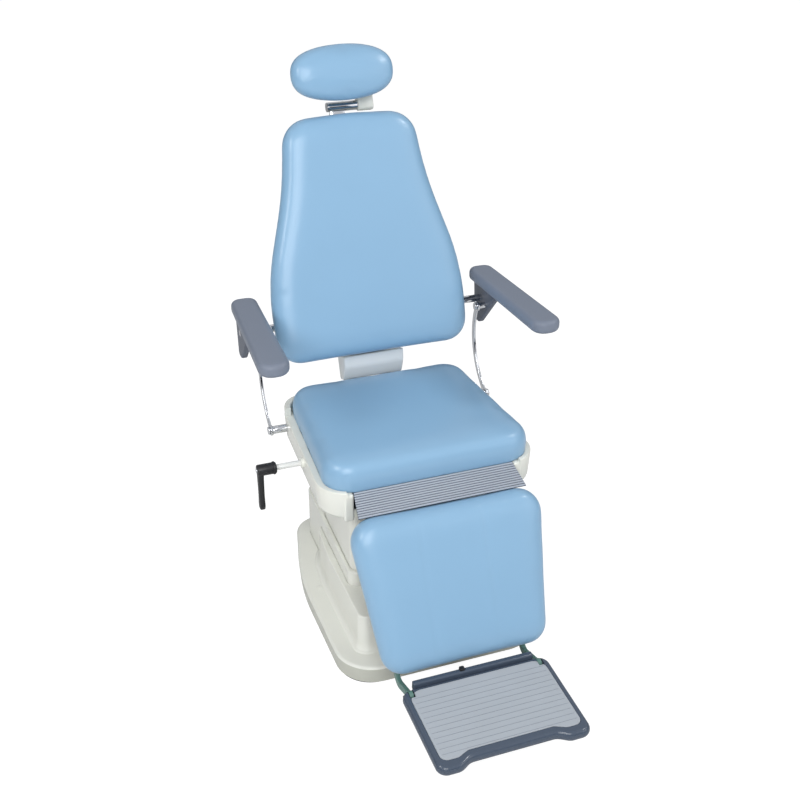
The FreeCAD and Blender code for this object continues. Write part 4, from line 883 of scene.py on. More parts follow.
@dataclass
class Cushion:
    """Padded piece: drawn in at its board, rounded over to a crowned face and blown up a little."""

    node: str
    outline: Outline
    foot: float
    top: float
    crown_inset: float
    edge_inset: float = 24.0
    crown: float = 5.0
    tuck: float = 7.0
    belly_share: float = 0.4
    start_inset: float = -0.8
    edge_steps: int = 10
    crown_steps: int = 4
    voxel: float = 6.0
    pressure: float = 4.0
    most_move: float = 4.0
    smooth_factor: float = 0.5
    smooth_rounds: int = 12
    last_frame: int = 20
    fill: float = 0.85

    def sections(self) -> list[Section]:
        """Outlines from the board to the middle of the crown.

        Returns:
            Sections of the cushion before it is blown up.
        """
        start = self.outline.inset(self.start_inset)
        belly = self.foot + (self.top - self.foot) * self.belly_share
        shoulder = self.top - self.crown
        stack = [(start.inset(self.tuck), self.foot), (start.inset(self.tuck / 3), (self.foot + belly) / 2)]
        stack += round_over(start, belly, shoulder, self.edge_inset, self.edge_steps)
        for step in range(1, self.crown_steps + 1):
            share = step / self.crown_steps
            drawn_in = self.edge_inset + (self.crown_inset - self.edge_inset) * share
            stack.append((start.inset(drawn_in), shoulder + self.crown * math.sin(share * math.pi / 2)))
        return stack

    def build(self, place: Place, middle: Point) -> Piece:
        """Makes the padded piece.

        Args:
            place: maps (u, v, height) to the chair.
            middle: point inside the outline.

        Returns:
            The finished cushion, without material.
        """
        cover = Loft(self.sections(), guides=(self.outline,), middle=middle)
        piece = cover.build("padded_" + self.node, place)
        remesh = piece.modifiers.new("remesh", "REMESH")
        remesh.mode = "VOXEL"
        remesh.voxel_size = self.voxel * MM
        settle(piece)
        self._blow_up(piece)
        smooth = piece.modifiers.new("smooth", "SMOOTH")
        smooth.factor = self.smooth_factor
        smooth.iterations = self.smooth_rounds
        finer = piece.modifiers.new("finer", "SUBSURF")
        finer.levels = 1
        finer.render_levels = 1
        settle(piece)
        piece.data.polygons.foreach_set("use_smooth", [True] * len(piece.data.polygons))
        return piece

    def _blow_up(self, piece: Piece) -> None:
        """Lets the cover swell under pressure, and holds each point within the largest move.

        Args:
            piece: the cushion, whose mesh is changed.
        """
        before = [vertex.co.copy() for vertex in piece.data.vertices]
        cloth = piece.modifiers.new("cloth", "CLOTH")
        cloth.settings.use_pressure = True
        cloth.settings.uniform_pressure_force = self.pressure
        cloth.settings.effector_weights.gravity = 0.0
        cloth.point_cache.frame_start = 1
        cloth.point_cache.frame_end = self.last_frame
        for number in range(1, self.last_frame + 1):
            bpy.context.scene.frame_set(number)
        settle(piece)
        bpy.context.scene.frame_set(1)
        for vertex, old in zip(piece.data.vertices, before):
            move = vertex.co - old
            if move.length > self.most_move * MM:
                vertex.co = old + move.normalized() * self.most_move * MM


def pad(cushion: Cushion, place: Place, middle: Point, body: str,
        shape: Callable[[Piece], None] | None = None) -> Piece:
    """Builds, shapes and dresses one cushion.

    Args:
        cushion: its sizes.
        place: maps its outline to the chair.
        middle: point inside its outline.
        body: body that carries it.
        shape: last change to its mesh.

    Returns:
        The finished cushion.
    """
    piece = cushion.build(place, middle)
    if shape:
        shape(piece)
    return dress(piece, body, "upholstery", cushion.node)


@dataclass
class Base:
    """Moulded base cover on the floor, with its plinth, its collar and its screw caps."""

    front_corner: Corner = Corner(256.0, -343.0, 95.0)
    side_bow: Corner = Corner(256.0, 60.0, 800.0)
    rear_corner: Corner = Corner(192.0, 318.0, 75.0)
    plinth_front: Corner = Corner(202.0, -279.0, 24.0)
    plinth_side: Corner = Corner(201.0, -10.0, 400.0)
    plinth_rear_side: Corner = Corner(189.0, 115.0, 150.0)
    plinth_rear: Corner = Corner(120.0, 215.0, 60.0)
    skirt_foot: float = 3.0
    skirt_draft: float = 3.0
    skirt_top: float = 40.0
    skirt_round_share: float = 0.3
    skirt_steepness: float = 0.6
    rim_top: float = 48.5
    rim_round: float = 9.0
    deck_foot: float = 49.0
    crease_z: float = 51.0
    crease_step: float = 1.0
    crease_reach: float = 13.0
    deck_top: float = 54.0
    cove_reach: float = 9.0
    cove_top: float = 78.0
    plinth_draft: float = 2.0
    plinth_top: float = 150.0
    plinth_edge: float = 4.0
    wall: float = 4.0
    collar_inset: float = 5.2
    collar_wall: float = 2.0
    collar_foot: float = 28.0
    cap_x: float = 219.0
    cap_y: float = -4.0
    cap_radius: float = 9.0
    cap_foot: float = -2.0
    cap_rise: float = 1.6
    cap_round_share: float = 0.5
    cap_lift: float = 0.8

    def outline(self) -> Outline:
        """Outline on the floor, bowed along its sides."""
        return Outline.both_sides(self.front_corner, self.side_bow, self.rear_corner)

    def plinth(self) -> Outline:
        """Outline of the raised plinth."""
        return Outline.both_sides(self.plinth_front, self.plinth_side, self.plinth_rear_side,
                                  self.plinth_rear)

    def build(self, pattern: Pattern) -> None:
        """Makes the cover with its well, the collar in the well and the screw caps.

        Args:
            pattern: tree that sets out what repeats.
        """
        covers = ColumnCovers()
        cover = self._cover()
        opening = covers.middle_outline().inset(-covers.slide_gap)
        well = Loft([(opening, self.skirt_foot), (opening, 2 * self.plinth_top)], guides=(opening,))
        dress(carve(cover, well.build("well", level)), "base", "cream_plastic", "base_cover")
        # The upright band gets painted shade: a darker cream.
        self._paint_skirt_shade(cover)
        self._collar(covers.middle_outline())
        self._caps(pattern)

    def _cover(self) -> Piece:
        """Shell of the cover, from its inner wall round its foot to the top of the plinth.

        Returns:
            The shell, still closed where the column covers go.
        """
        floor, plinth = self.outline(), self.plinth()
        crease = plinth.inset(-self.crease_reach)
        wall_top = plinth.inset(self.plinth_draft)
        under_deck = self.deck_foot - self.wall
        inner_skirt = floor.inset(self.skirt_draft + self.wall)
        inner_rim = floor.inset(self.rim_round + self.wall)
        inner = [(wall_top.inset(self.plinth_edge + self.wall), self.plinth_top - self.wall),
                 (plinth.inset(self.wall), under_deck), (inner_rim, under_deck),
                 (inner_skirt, self.skirt_top - self.wall), (inner_skirt, self.skirt_foot)]
        outer = [(floor.inset(self.skirt_draft), self.skirt_foot)]
        outer += round_over(floor, self.skirt_top, self.rim_top, self.rim_round)
        outer += [(inner_rim, self.deck_foot), (crease, self.crease_z),
                  (crease.inset(self.crease_step), self.crease_z + self.crease_step)]
        outer += cove(plinth, self.deck_top, self.cove_top, self.cove_reach)
        outer += round_over(wall_top, self.plinth_top - self.plinth_edge, self.plinth_top, self.plinth_edge)
        return Loft(inner + outer, guides=(floor, plinth)).build("moulded_base", level)

    def _paint_skirt_shade(self, cover: Piece) -> None:
        """Paints shade on the upright band round the floor: its faces get a darker cream that stands in for
        the shade the band lies in.

        Args:
            cover: the finished cover.
        """
        cover.data.materials.append(FINISHES["skirt_cream"].material())
        band_top = self.skirt_top * MM + self.rim_round * MM * self.skirt_round_share
        for face in cover.data.polygons:
            if face.center.z < band_top and abs(face.normal.z) < self.skirt_steepness:
                face.material_index = 1

    def _collar(self, middle: Outline) -> None:
        """Fixed collar inside the middle cover, which closes the well when the seat is up.

        Args:
            middle: outline of the middle cover.
        """
        outer = middle.inset(self.collar_inset)
        inner = outer.inset(self.collar_wall)
        top = self.plinth_top - self.wall
        sections = [(outer, self.collar_foot), (outer, top), (inner, top), (inner, self.collar_foot)]
        collar = Loft(sections, guides=(outer,), hollow=True).build("base_collar", level)
        dress(collar, "base", "cream_plastic")

    def _caps(self, pattern: Pattern) -> None:
        """Domed screw caps on the deck.

        Args:
            pattern: tree that sets them out.
        """
        cap = Round(self.cap_radius)
        dome = round_over(cap, 0.0, self.cap_rise, self.cap_radius * self.cap_round_share)
        shape = Loft([(cap, self.cap_foot)] + dome, guides=(cap,)).build("cap", level)
        height = self.deck_foot + self.cap_lift
        spots = [Spot(Vector((side * self.cap_x, self.cap_y, height)) * MM) for side in (-1, 1)]
        caps = pattern.lay("base_screw_caps", shape, spots, "cream_plastic")
        dress(caps, "base", "cream_plastic")


@dataclass
class ColumnCovers:
    """Middle and upper covers that slide out of the base."""

    middle_front: Corner = Corner(186.0, -158.0, 24.0)
    middle_rear: Corner = Corner(173.0, 262.0, 24.0)
    middle_foot: float = 25.0
    middle_top: float = 190.0
    middle_edge: float = 5.0
    upper_front: Corner = Corner(177.0, -149.0, 24.0)
    upper_rear: Corner = Corner(166.0, 150.0, 50.0)
    upper_foot: float = 70.0
    upper_top: float = 388.0
    upper_edge: float = 5.0
    flange_radius: float = 95.0
    wall: float = 4.0
    slide_gap: float = 0.8
    mouth_edge: float = 1.0
    ceiling_slope: float = 2.0

    def middle_outline(self) -> Outline:
        """Outline of the middle cover."""
        return Outline.both_sides(self.middle_front, self.middle_rear)

    def upper_outline(self) -> Outline:
        """Outline of the upper cover."""
        return Outline.both_sides(self.upper_front, self.upper_rear)

    def build(self) -> None:
        """Makes both covers as hollow shells."""
        middle, upper = self.middle_outline(), self.upper_outline()
        opening = upper.inset(-self.slide_gap)
        inside = middle.inset(self.wall)
        ceiling = self.middle_top - self.wall
        sections = [(middle, self.middle_foot)]
        sections += round_over(middle, self.middle_top - self.middle_edge, self.middle_top, self.middle_edge)
        sections += [(opening.inset(-self.mouth_edge), self.middle_top),
                     (opening, self.middle_top - self.mouth_edge), (opening, ceiling),
                     (inside, ceiling - self.ceiling_slope), (inside, self.middle_foot)]
        shell = Loft(sections, guides=(middle, opening), hollow=True)
        dress(shell.build("sliding_middle_cover", level), "mid_cover", "cream_plastic", "middle_cover")
        hole = Round(self.flange_radius)
        inside = upper.inset(self.wall)
        ceiling = self.upper_top - self.wall
        sections = [(upper, self.upper_foot)]
        sections += round_over(upper, self.upper_top - self.upper_edge, self.upper_top, self.upper_edge)
        sections += [(hole, self.upper_top), (hole, ceiling), (inside, ceiling), (inside, self.upper_foot)]
        shell = Loft(sections, guides=(upper, hole), hollow=True)
        dress(shell.build("sliding_upper_cover", level), "lift", "cream_plastic", "upper_cover")


@dataclass
class Seat:
    """Seat cushion, moulded pan, knee bellows, link studs and the bush of the swivel lock."""

    cushion_front: Corner = Corner(259.0, -236.0, 65.0)
    cushion_rear: Corner = Corner(230.0, 200.0, 60.0)
    cushion_foot: float = 467.0
    cushion_top: float = 542.0
    cushion_edge: float = 26.0
    crown_inset: float = 80.0
    cushion_tuck: float = 2.0
    belly_share: float = 0.45
    pan_front: Corner = Corner(270.0, -244.0, 80.0)
    pan_rear: Corner = Corner(246.0, 214.0, 62.0)
    pan_floor: float = 400.0
    pan_bend: float = 416.0
    pan_floor_inset: float = 40.0
    pan_band_inset: float = 4.0
    pan_rim: float = 477.0
    rim_edge: float = 3.0
    rim_steps: int = 4
    rim_lap: float = 5.0
    rim_depth: float = 8.0
    lip_edge: float = 1.0
    lip_slope: float = 2.0
    wall: float = 4.0
    cutter_reach: float = 518.0
    notch_half_width: float = 212.0
    notch_y: float = -198.0
    post_inner_x: float = 196.0
    post_width: float = 24.0
    post_front_y: float = -238.0
    post_top: float = 470.0
    post_edge: float = 6.0
    ear_height: float = 23.0
    ear_inner_x: float = 105.0
    ear_front_y: float = 150.0
    ear_gap: float = 1.5
    ear_inset: float = 0.5
    ear_root: float = 2.0
    ear_round: float = 5.0
    ear_steps: int = 5
    ear_inner_edge: float = 2.0
    ear_end_round: float = 4.0
    rear_notch_half_width: float = 100.0
    rear_notch_y: float = 158.0
    post_hole_radius: float = 34.0
    lock_y: float = -45.0
    lock_z: float = 458.0
    lock_rod_radius: float = 7.0
    lock_rod_gap: float = 0.05
    bush_radius: float = 12.0
    bush_outer_x: float = -267.0
    bush_inner_x: float = -237.0
    bush_edge: float = 3.0
    bush_steps: int = 4
    stud_y: float = 139.0
    stud_z: float = 451.0
    stud_radius: float = 10.0
    stud_inner_x: float = 233.0
    stud_neck_radius: float = 7.0
    stud_neck_lap: float = 1.0
    stud_head: float = 5.0
    stud_head_edge: float = 2.0
    link_inner_x: float = 287.0
    link_thickness: float = 6.0
    link_gap: float = 0.3
    bellows_half_width: float = 195.5
    bellows_top: Point = (-230.0, 472.0)
    bellows_end: Point = (-291.7, 441.7)
    bellows_pleats: int = 11
    bellows_flare: float = 0.045
    bellows_depth: float = 4.0
    backing_edge: float = 0.3
    pleat_share: float = 0.38
    pleat_end_share: float = 0.6
    flange_lap: float = 1.0
    flange_depth: float = 13.0
    flange_foot: float = 4.0
    flange_edge: float = 0.5

    def cushion_outline(self) -> Outline:
        """Outline of the seat cushion."""
        return Outline.both_sides(self.cushion_front, self.cushion_rear)

    def pan_outline(self) -> Outline:
        """Outline of the pan at its rim."""
        return Outline.both_sides(self.pan_front, self.pan_rear)

    def build(self, pattern: Pattern) -> None:
        """Makes all pieces of the seat.

        Args:
            pattern: tree that sets out what repeats.
        """
        cushion = Cushion("seat_cushion", self.cushion_outline(), self.cushion_foot, self.cushion_top,
                          self.crown_inset, self.cushion_edge, tuck=self.cushion_tuck,
                          belly_share=self.belly_share)
        pad(cushion, level, (0.0, 0.0), "seat")
        shell = self._pan()
        pieces = join("seat_pan_moulding", shell, *self._ears(), *self._posts())
        dress(pieces, "seat", "cream_plastic", "seat_pan")
        self._bellows(pattern)
        self._studs()
        self._bush()

    def _pan(self) -> Piece:
        """Moulded pan with its rim, notches and holes.

        Returns:
            The shell of the pan.
        """
        pan = self.pan_outline()
        bend = pan.inset(self.pan_band_inset)
        floor_round = self.pan_floor_inset - self.pan_band_inset
        sections = list(reversed(round_over(bend, self.pan_bend, self.pan_floor, floor_round)))
        sections += round_over(pan, self.pan_rim - self.rim_edge, self.pan_rim, self.rim_edge,
                               self.rim_steps)
        inner = self.cushion_outline().inset(self.rim_lap)
        under_rim = self.pan_rim - self.rim_depth
        sections += [(inner.inset(-self.lip_edge), self.pan_rim), (inner, self.pan_rim - self.lip_edge),
                     (inner, under_rim), (pan.inset(self.wall), under_rim - self.lip_slope),
                     (bend.inset(self.wall), self.pan_bend + self.wall),
                     (pan.inset(self.pan_floor_inset + self.wall), self.pan_floor + self.wall)]
        shell = Loft(sections, guides=(pan, inner)).build("moulded_pan", level)
        reach = self.cutter_reach
        front = block("front_notch", (-self.notch_half_width, -reach, 0.0),
                      (self.notch_half_width, self.notch_y, reach * 2))
        rear = block("rear_notch",
                     (-self.rear_notch_half_width, self.rear_notch_y, self.pan_floor + self.wall),
                     (self.rear_notch_half_width, reach, reach * 2))
        hole = bar("floor_hole", self.post_hole_radius, self.pan_floor - self.wall,
                   self.pan_floor + 3 * self.wall, level)
        bore = bar("bush_hole", self.bush_radius, -reach, self.bush_inner_x,
                   along_x(self.lock_y, self.lock_z))
        return carve(shell, front, rear, hole, bore)

    def _ears(self) -> list[Piece]:
        """Raised rear corners of the pan, which hold the cushion.

        Returns:
            The right and the left corner.
        """
        pan = self.pan_outline()
        outside = pan.inset(self.ear_inset)
        edge = self.cushion_outline().inset(-self.ear_gap)
        root, top = self.pan_rim - self.ear_root, self.pan_rim + self.ear_height
        ring = [(outside, root)]
        ring += round_over(outside, top - self.ear_round, top, self.ear_round, self.ear_steps)
        ring += [(edge.inset(-self.ear_inner_edge), top), (edge, top - self.ear_inner_edge), (edge, root)]
        reach = self.cutter_reach
        ears = []
        for name, low_x, high_x in (("ear_right", self.ear_inner_x, reach),
                                    ("ear_left", -reach, -self.ear_inner_x)):
            ear = Loft(ring, guides=(pan, edge), hollow=True).build(name, level)
            corner = block("corner", (low_x, self.ear_front_y, 0.0), (high_x, reach, 2 * reach),
                           self.ear_end_round)
            ears.append(carve(ear, corner, keep=True))
        return ears

    def _posts(self) -> list[Piece]:
        """Front posts of the pan, one on each side of the bellows.

        Returns:
            The left and the right post.
        """
        posts = []
        for side in (-1, 1):
            low_x, high_x = sorted((side * self.post_inner_x, side * (self.post_inner_x + self.post_width)))
            posts.append(block("post", (low_x, self.post_front_y, self.pan_floor),
                               (high_x, self.notch_y, self.post_top), self.post_edge))
        return posts

    def _bellows(self, pattern: Pattern) -> None:
        """Backing sheet with one rounded pleat after another; the backing and the flange are painted dark
        grey as the shade between the pleats.

        Args:
            pattern: tree that sets out the pleats.
        """
        top, end = Vector(self.bellows_top), Vector(self.bellows_end)
        run = end - top
        outward = Vector((run.y, -run.x)).normalized()
        half = self.bellows_depth / 2
        low = [top - outward * self.bellows_depth, end - outward * self.bellows_depth]
        high = [end - outward * half, top - outward * half]
        corners = [Corner(point.x, point.y, self.backing_edge) for point in low + high]
        sheet = Slab(Outline(corners).points(), -self.bellows_half_width, self.bellows_half_width,
                     self.backing_edge)
        backing = sheet.build("bellows_backing", across)
        flange = block("bellows_flange",
                       (-self.bellows_half_width, top.x - self.flange_lap, top.y - self.flange_foot),
                       (self.bellows_half_width, top.x + self.flange_depth, top.y - self.flange_lap),
                       self.flange_edge)
        # The flange under the seat gets painted shade: dark grey.
        dress(flange, "seat", "bellows_grey", look="groove_dark")
        radius = run.length / self.bellows_pleats * self.pleat_share
        pleat = bar("pleat", radius, -self.bellows_half_width, self.bellows_half_width, along_x(0.0, 0.0),
                    radius * self.pleat_end_share)
        spots = []
        for index in range(self.bellows_pleats):
            spot = top + run * ((index + 0.5) / self.bellows_pleats) - outward * half
            spots.append(Spot(across(spot.x, spot.y, 0.0)))
        pleats = pattern.lay("bellows_pleats", pleat, spots, "bellows_grey")
        start, stop = across(top.x, top.y, 0.0), across(end.x, end.y, 0.0)
        # The backing shows painted shade between the pleats.
        for piece, look in ((backing, "groove_dark"), (pleats, "bellows_grey")):
            self._flare(piece, start, stop)
            piece.data.materials.clear()
            piece.data.materials.append(FINISHES[look].material())
            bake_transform(piece)
            log.info("%s: %d faces between seat and legrest", piece.name, len(piece.data.polygons))
        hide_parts("knee_bellows")

    def _flare(self, piece: Piece, start: Vector, stop: Vector) -> None:
        """Widens a piece of the bellows steadily from the seat to the legrest.

        Args:
            piece: piece of the bellows.
            start: where the bellows leave the seat.
            stop: where they meet the legrest.
        """
        run = stop - start
        for vertex in piece.data.vertices:
            share = (vertex.co - start).dot(run) / run.length_squared
            vertex.co.x *= 1 + self.bellows_flare * min(max(share, 0.0), 1.0)

    def _studs(self) -> None:
        """Chrome studs that carry the lower ends of the armrest links."""
        place = along_x(self.stud_y, self.stud_z)
        outer = self.link_inner_x + self.link_thickness + self.link_gap
        pieces = [bar("stud", self.stud_radius, self.stud_inner_x, self.link_inner_x - self.link_gap, place),
                  bar("neck", self.stud_neck_radius, self.link_inner_x - self.stud_neck_lap,
                      outer + self.stud_neck_lap, place),
                  bar("head", self.stud_radius, outer, outer + self.stud_head, place, self.stud_head_edge)]
        right = join("link_stud_right", *pieces)
        left = mirrored(right, "link_stud_left")
        dress(join("link_studs_turned", right, left), "seat", "chrome", "link_studs")

    def _bush(self) -> None:
        """Cream boss round the lock rod."""
        outer, inner = Round(self.bush_radius), Round(self.lock_rod_radius + self.lock_rod_gap)
        sections = [(outer, self.bush_inner_x)]
        sections += round_over(outer, self.bush_outer_x + self.bush_edge, self.bush_outer_x, self.bush_edge,
                               self.bush_steps)
        sections += [(inner, self.bush_outer_x), (inner, self.bush_inner_x)]
        shell = Loft(sections, guides=(outer,), hollow=True)
        boss = shell.build("lock_boss", along_x(self.lock_y, self.lock_z))
        dress(boss, "seat", "cream_plastic", "lock_rod_bearings")


@dataclass
class SwivelLock:
    """White rod out of the side of the pan with its black clamping lever."""

    y: float = -45.0
    z: float = 458.0
    rod_radius: float = 7.0
    rod_outer_x: float = -346.0
    rod_inner_x: float = -60.0
    hub_radius: float = 14.0
    hub_outer_x: float = -372.0
    hub_inner_x: float = -326.0
    hub_edge: float = 3.0
    collar_x: float = -334.0
    collar_rise: float = 1.6
    collar_length: float = 5.0
    small_edge: float = 1.2
    arm_width: float = 14.0
    arm_length: float = 106.0
    arm_inset: float = 1.0
    arm_edge: float = 3.0
    arm_halves: Sequence[Point] = ((0.0, 12.0), (0.2, 10.6), (0.45, 8.6), (0.65, 8.0), (0.76, 9.0),
                                   (0.86, 10.8), (0.94, 9.8), (1.0, 6.4))
    screw_radius: float = 6.0
    screw_rise: float = 2.2

    def build(self) -> None:
        """Makes rod, lever and the screw in the hub."""
        place = along_x(self.y, self.z)
        rod = bar("lock_rod_turned", self.rod_radius, self.rod_outer_x, self.rod_inner_x, place)
        dress(rod, "lock", "white_paint", "lock_rod")
        hub = bar("hub", self.hub_radius, self.hub_outer_x, self.hub_inner_x, place, self.hub_edge)
        collar = bar("collar", self.hub_radius + self.collar_rise, self.collar_x,
                     self.collar_x + self.collar_length, place, self.small_edge)
        left = [(self.y - half, self.z - share * self.arm_length) for share, half in self.arm_halves]
        right = [(2 * self.y - y, z) for y, z in reversed(left)]
        grip = Slab(right + left, self.hub_outer_x + self.arm_inset, self.hub_outer_x + self.arm_width,
                    self.arm_edge)
        arm = grip.build("arm", across)
        dress(join("clamping_lever", hub, collar, arm), "lock", "black_plastic", "lock_lever")
        screw = bar("hub_screw", self.screw_radius, self.hub_outer_x - self.screw_rise,
                    self.hub_outer_x + self.arm_inset, place, self.small_edge)
        dress(screw, "lock", "chrome")


@dataclass
class Backrest:
    """Back cushion, rear shell, spine cover and the chrome armrest shaft."""

    low_corner: Corner = Corner(251.0, -7.0, 60.0)
    waist: Corner = Corner(257.0, 190.0, 600.0)
    shoulder: Corner = Corner(190.0, 415.0, 900.0)
    top_corner: Corner = Corner(166.0, 582.0, 70.0)
    top_bow: Corner = Corner(0.0, 592.0, 700.0)
    middle_s: float = 290.0
    front_n: float = 6.0
    rear_n: float = -54.0
    crown_inset: float = 62.0
    board_rear_n: float = -62.3
    lip_inset: float = 15.0
    lip_gap: float = 0.2
    joint_inset: float = 15.4
    inner_joint_inset: float = 16.0
    bend_inset: float = 18.0
    bend_n: float = -89.0
    shell_round: float = 40.0
    shell_steps: int = 8
    inner_bend_inset: float = 30.0
    inner_bend_n: float = -110.0
    inner_floor_inset: float = 58.0
    shell_floor_n: float = -121.3
    wall: float = 4.0
    notch_half_width: float = 60.0
    notch_low_s: float = -60.0
    notch_top_s: float = 53.0
    notch_low_round: float = 1.0
    notch_top_round: float = 12.0
    notch_reach: float = 20.0
    shaft_radius: float = 9.5
    shaft_y: float = 252.0
    shaft_z: float = 674.0
    shaft_half_length: float = 329.0
    shaft_gap: float = 1.0
    shaft_edge: float = 1.5
    post_left_x: float = -30.0
    post_right_x: float = 18.0
    post_n: float = -75.0
    slit_gap: float = 1.0
    slit_half_depth: float = 5.0
    slit_low_s: float = 540.0
    slit_top_s: float = 620.0
    slit_edge: float = 0.5
    spine_left_x: float = -75.0
    spine_right_x: float = 85.0
    spine_edge: float = 4.0
    spine_side: Sequence[Corner] = (Corner(-74.0, -124.3, 8.0), Corner(-74.0, -94.0, 14.0),
                                    Corner(-40.0, -67.0, 40.0), Corner(-10.0, -60.0, 4.0),
                                    Corner(-10.0, -124.3, 8.0))

    def outline(self) -> Outline:
        """Outline of the back cushion on its face."""
        return Outline.both_sides(self.low_corner, self.waist, self.shoulder, self.top_corner, self.top_bow)

    def build(self) -> None:
        """Makes all pieces of the backrest."""
        cushion = Cushion("back_cushion", self.outline(), self.rear_n, self.front_n, self.crown_inset)
        pad(cushion, BACK.place, (0.0, self.middle_s), "backrest")
        self._shell()
        side = list(reversed(Outline(self.spine_side).points()))
        spine = Slab(side, self.spine_left_x, self.spine_right_x, self.spine_edge)
        cover = spine.build("spine_moulding", BACK.place_across)
        # The spine cover gets painted light: a whiter cream than its slot.
        dress(cover, "backrest", "cream_plastic", "spine_cover", look="spine_white")
        shaft = bar("armrest_shaft_turned", self.shaft_radius, -self.shaft_half_length,
                    self.shaft_half_length, along_x(self.shaft_y, self.shaft_z), self.shaft_edge)
        dress(shaft, "backrest", "chrome", "armrest_shaft")

    def _shell(self) -> None:
        """Rear shell with its notch for the spine, slit for the headrest post and bore for the shaft."""
        back = self.outline()
        bend = back.inset(self.bend_inset)
        outer = round_over(bend, self.bend_n, self.shell_floor_n, self.shell_round, self.shell_steps)
        outer.reverse()
        outer += [(back.inset(self.joint_inset), self.board_rear_n),
                  (back.inset(self.lip_inset), self.rear_n - self.lip_gap)]
        inner = [(back.inset(self.inner_joint_inset + self.wall), self.board_rear_n),
                 (back.inset(self.bend_inset + self.wall), self.bend_n),
                 (back.inset(self.inner_bend_inset + self.wall), self.inner_bend_n),
                 (back.inset(self.inner_floor_inset + self.wall), self.shell_floor_n + self.wall)]
        walls = Loft(outer + inner, guides=(back,), middle=(0.0, self.middle_s))
        shell = walls.build("rear_shell", BACK.place)
        notch = Outline.rectangle((-self.notch_half_width, self.notch_low_s),
                                  (self.notch_half_width, self.notch_top_s),
                                  self.notch_low_round, self.notch_top_round)
        cut = Loft([(notch, self.shell_floor_n - self.notch_reach), (notch, self.board_rear_n + self.wall)])
        opening = cut.build("notch", BACK.place)
        left, right = self.post_left_x - self.slit_gap, self.post_right_x + self.slit_gap
        slot = Outline.rectangle((left, self.slit_low_s), (right, self.slit_top_s), self.slit_edge)
        cut = Loft([(slot, self.post_n - self.slit_half_depth), (slot, self.post_n + self.slit_half_depth)],
                   middle=((left + right) / 2, (self.slit_low_s + self.slit_top_s) / 2))
        slit = cut.build("slit", BACK.place)
        bore = bar("bore", self.shaft_radius + self.shaft_gap, -self.shaft_half_length,
                   self.shaft_half_length, along_x(self.shaft_y, self.shaft_z))
        carve(shell, opening, slit, bore)
        dress(shell, "backrest", "cream_plastic", "back_shell")


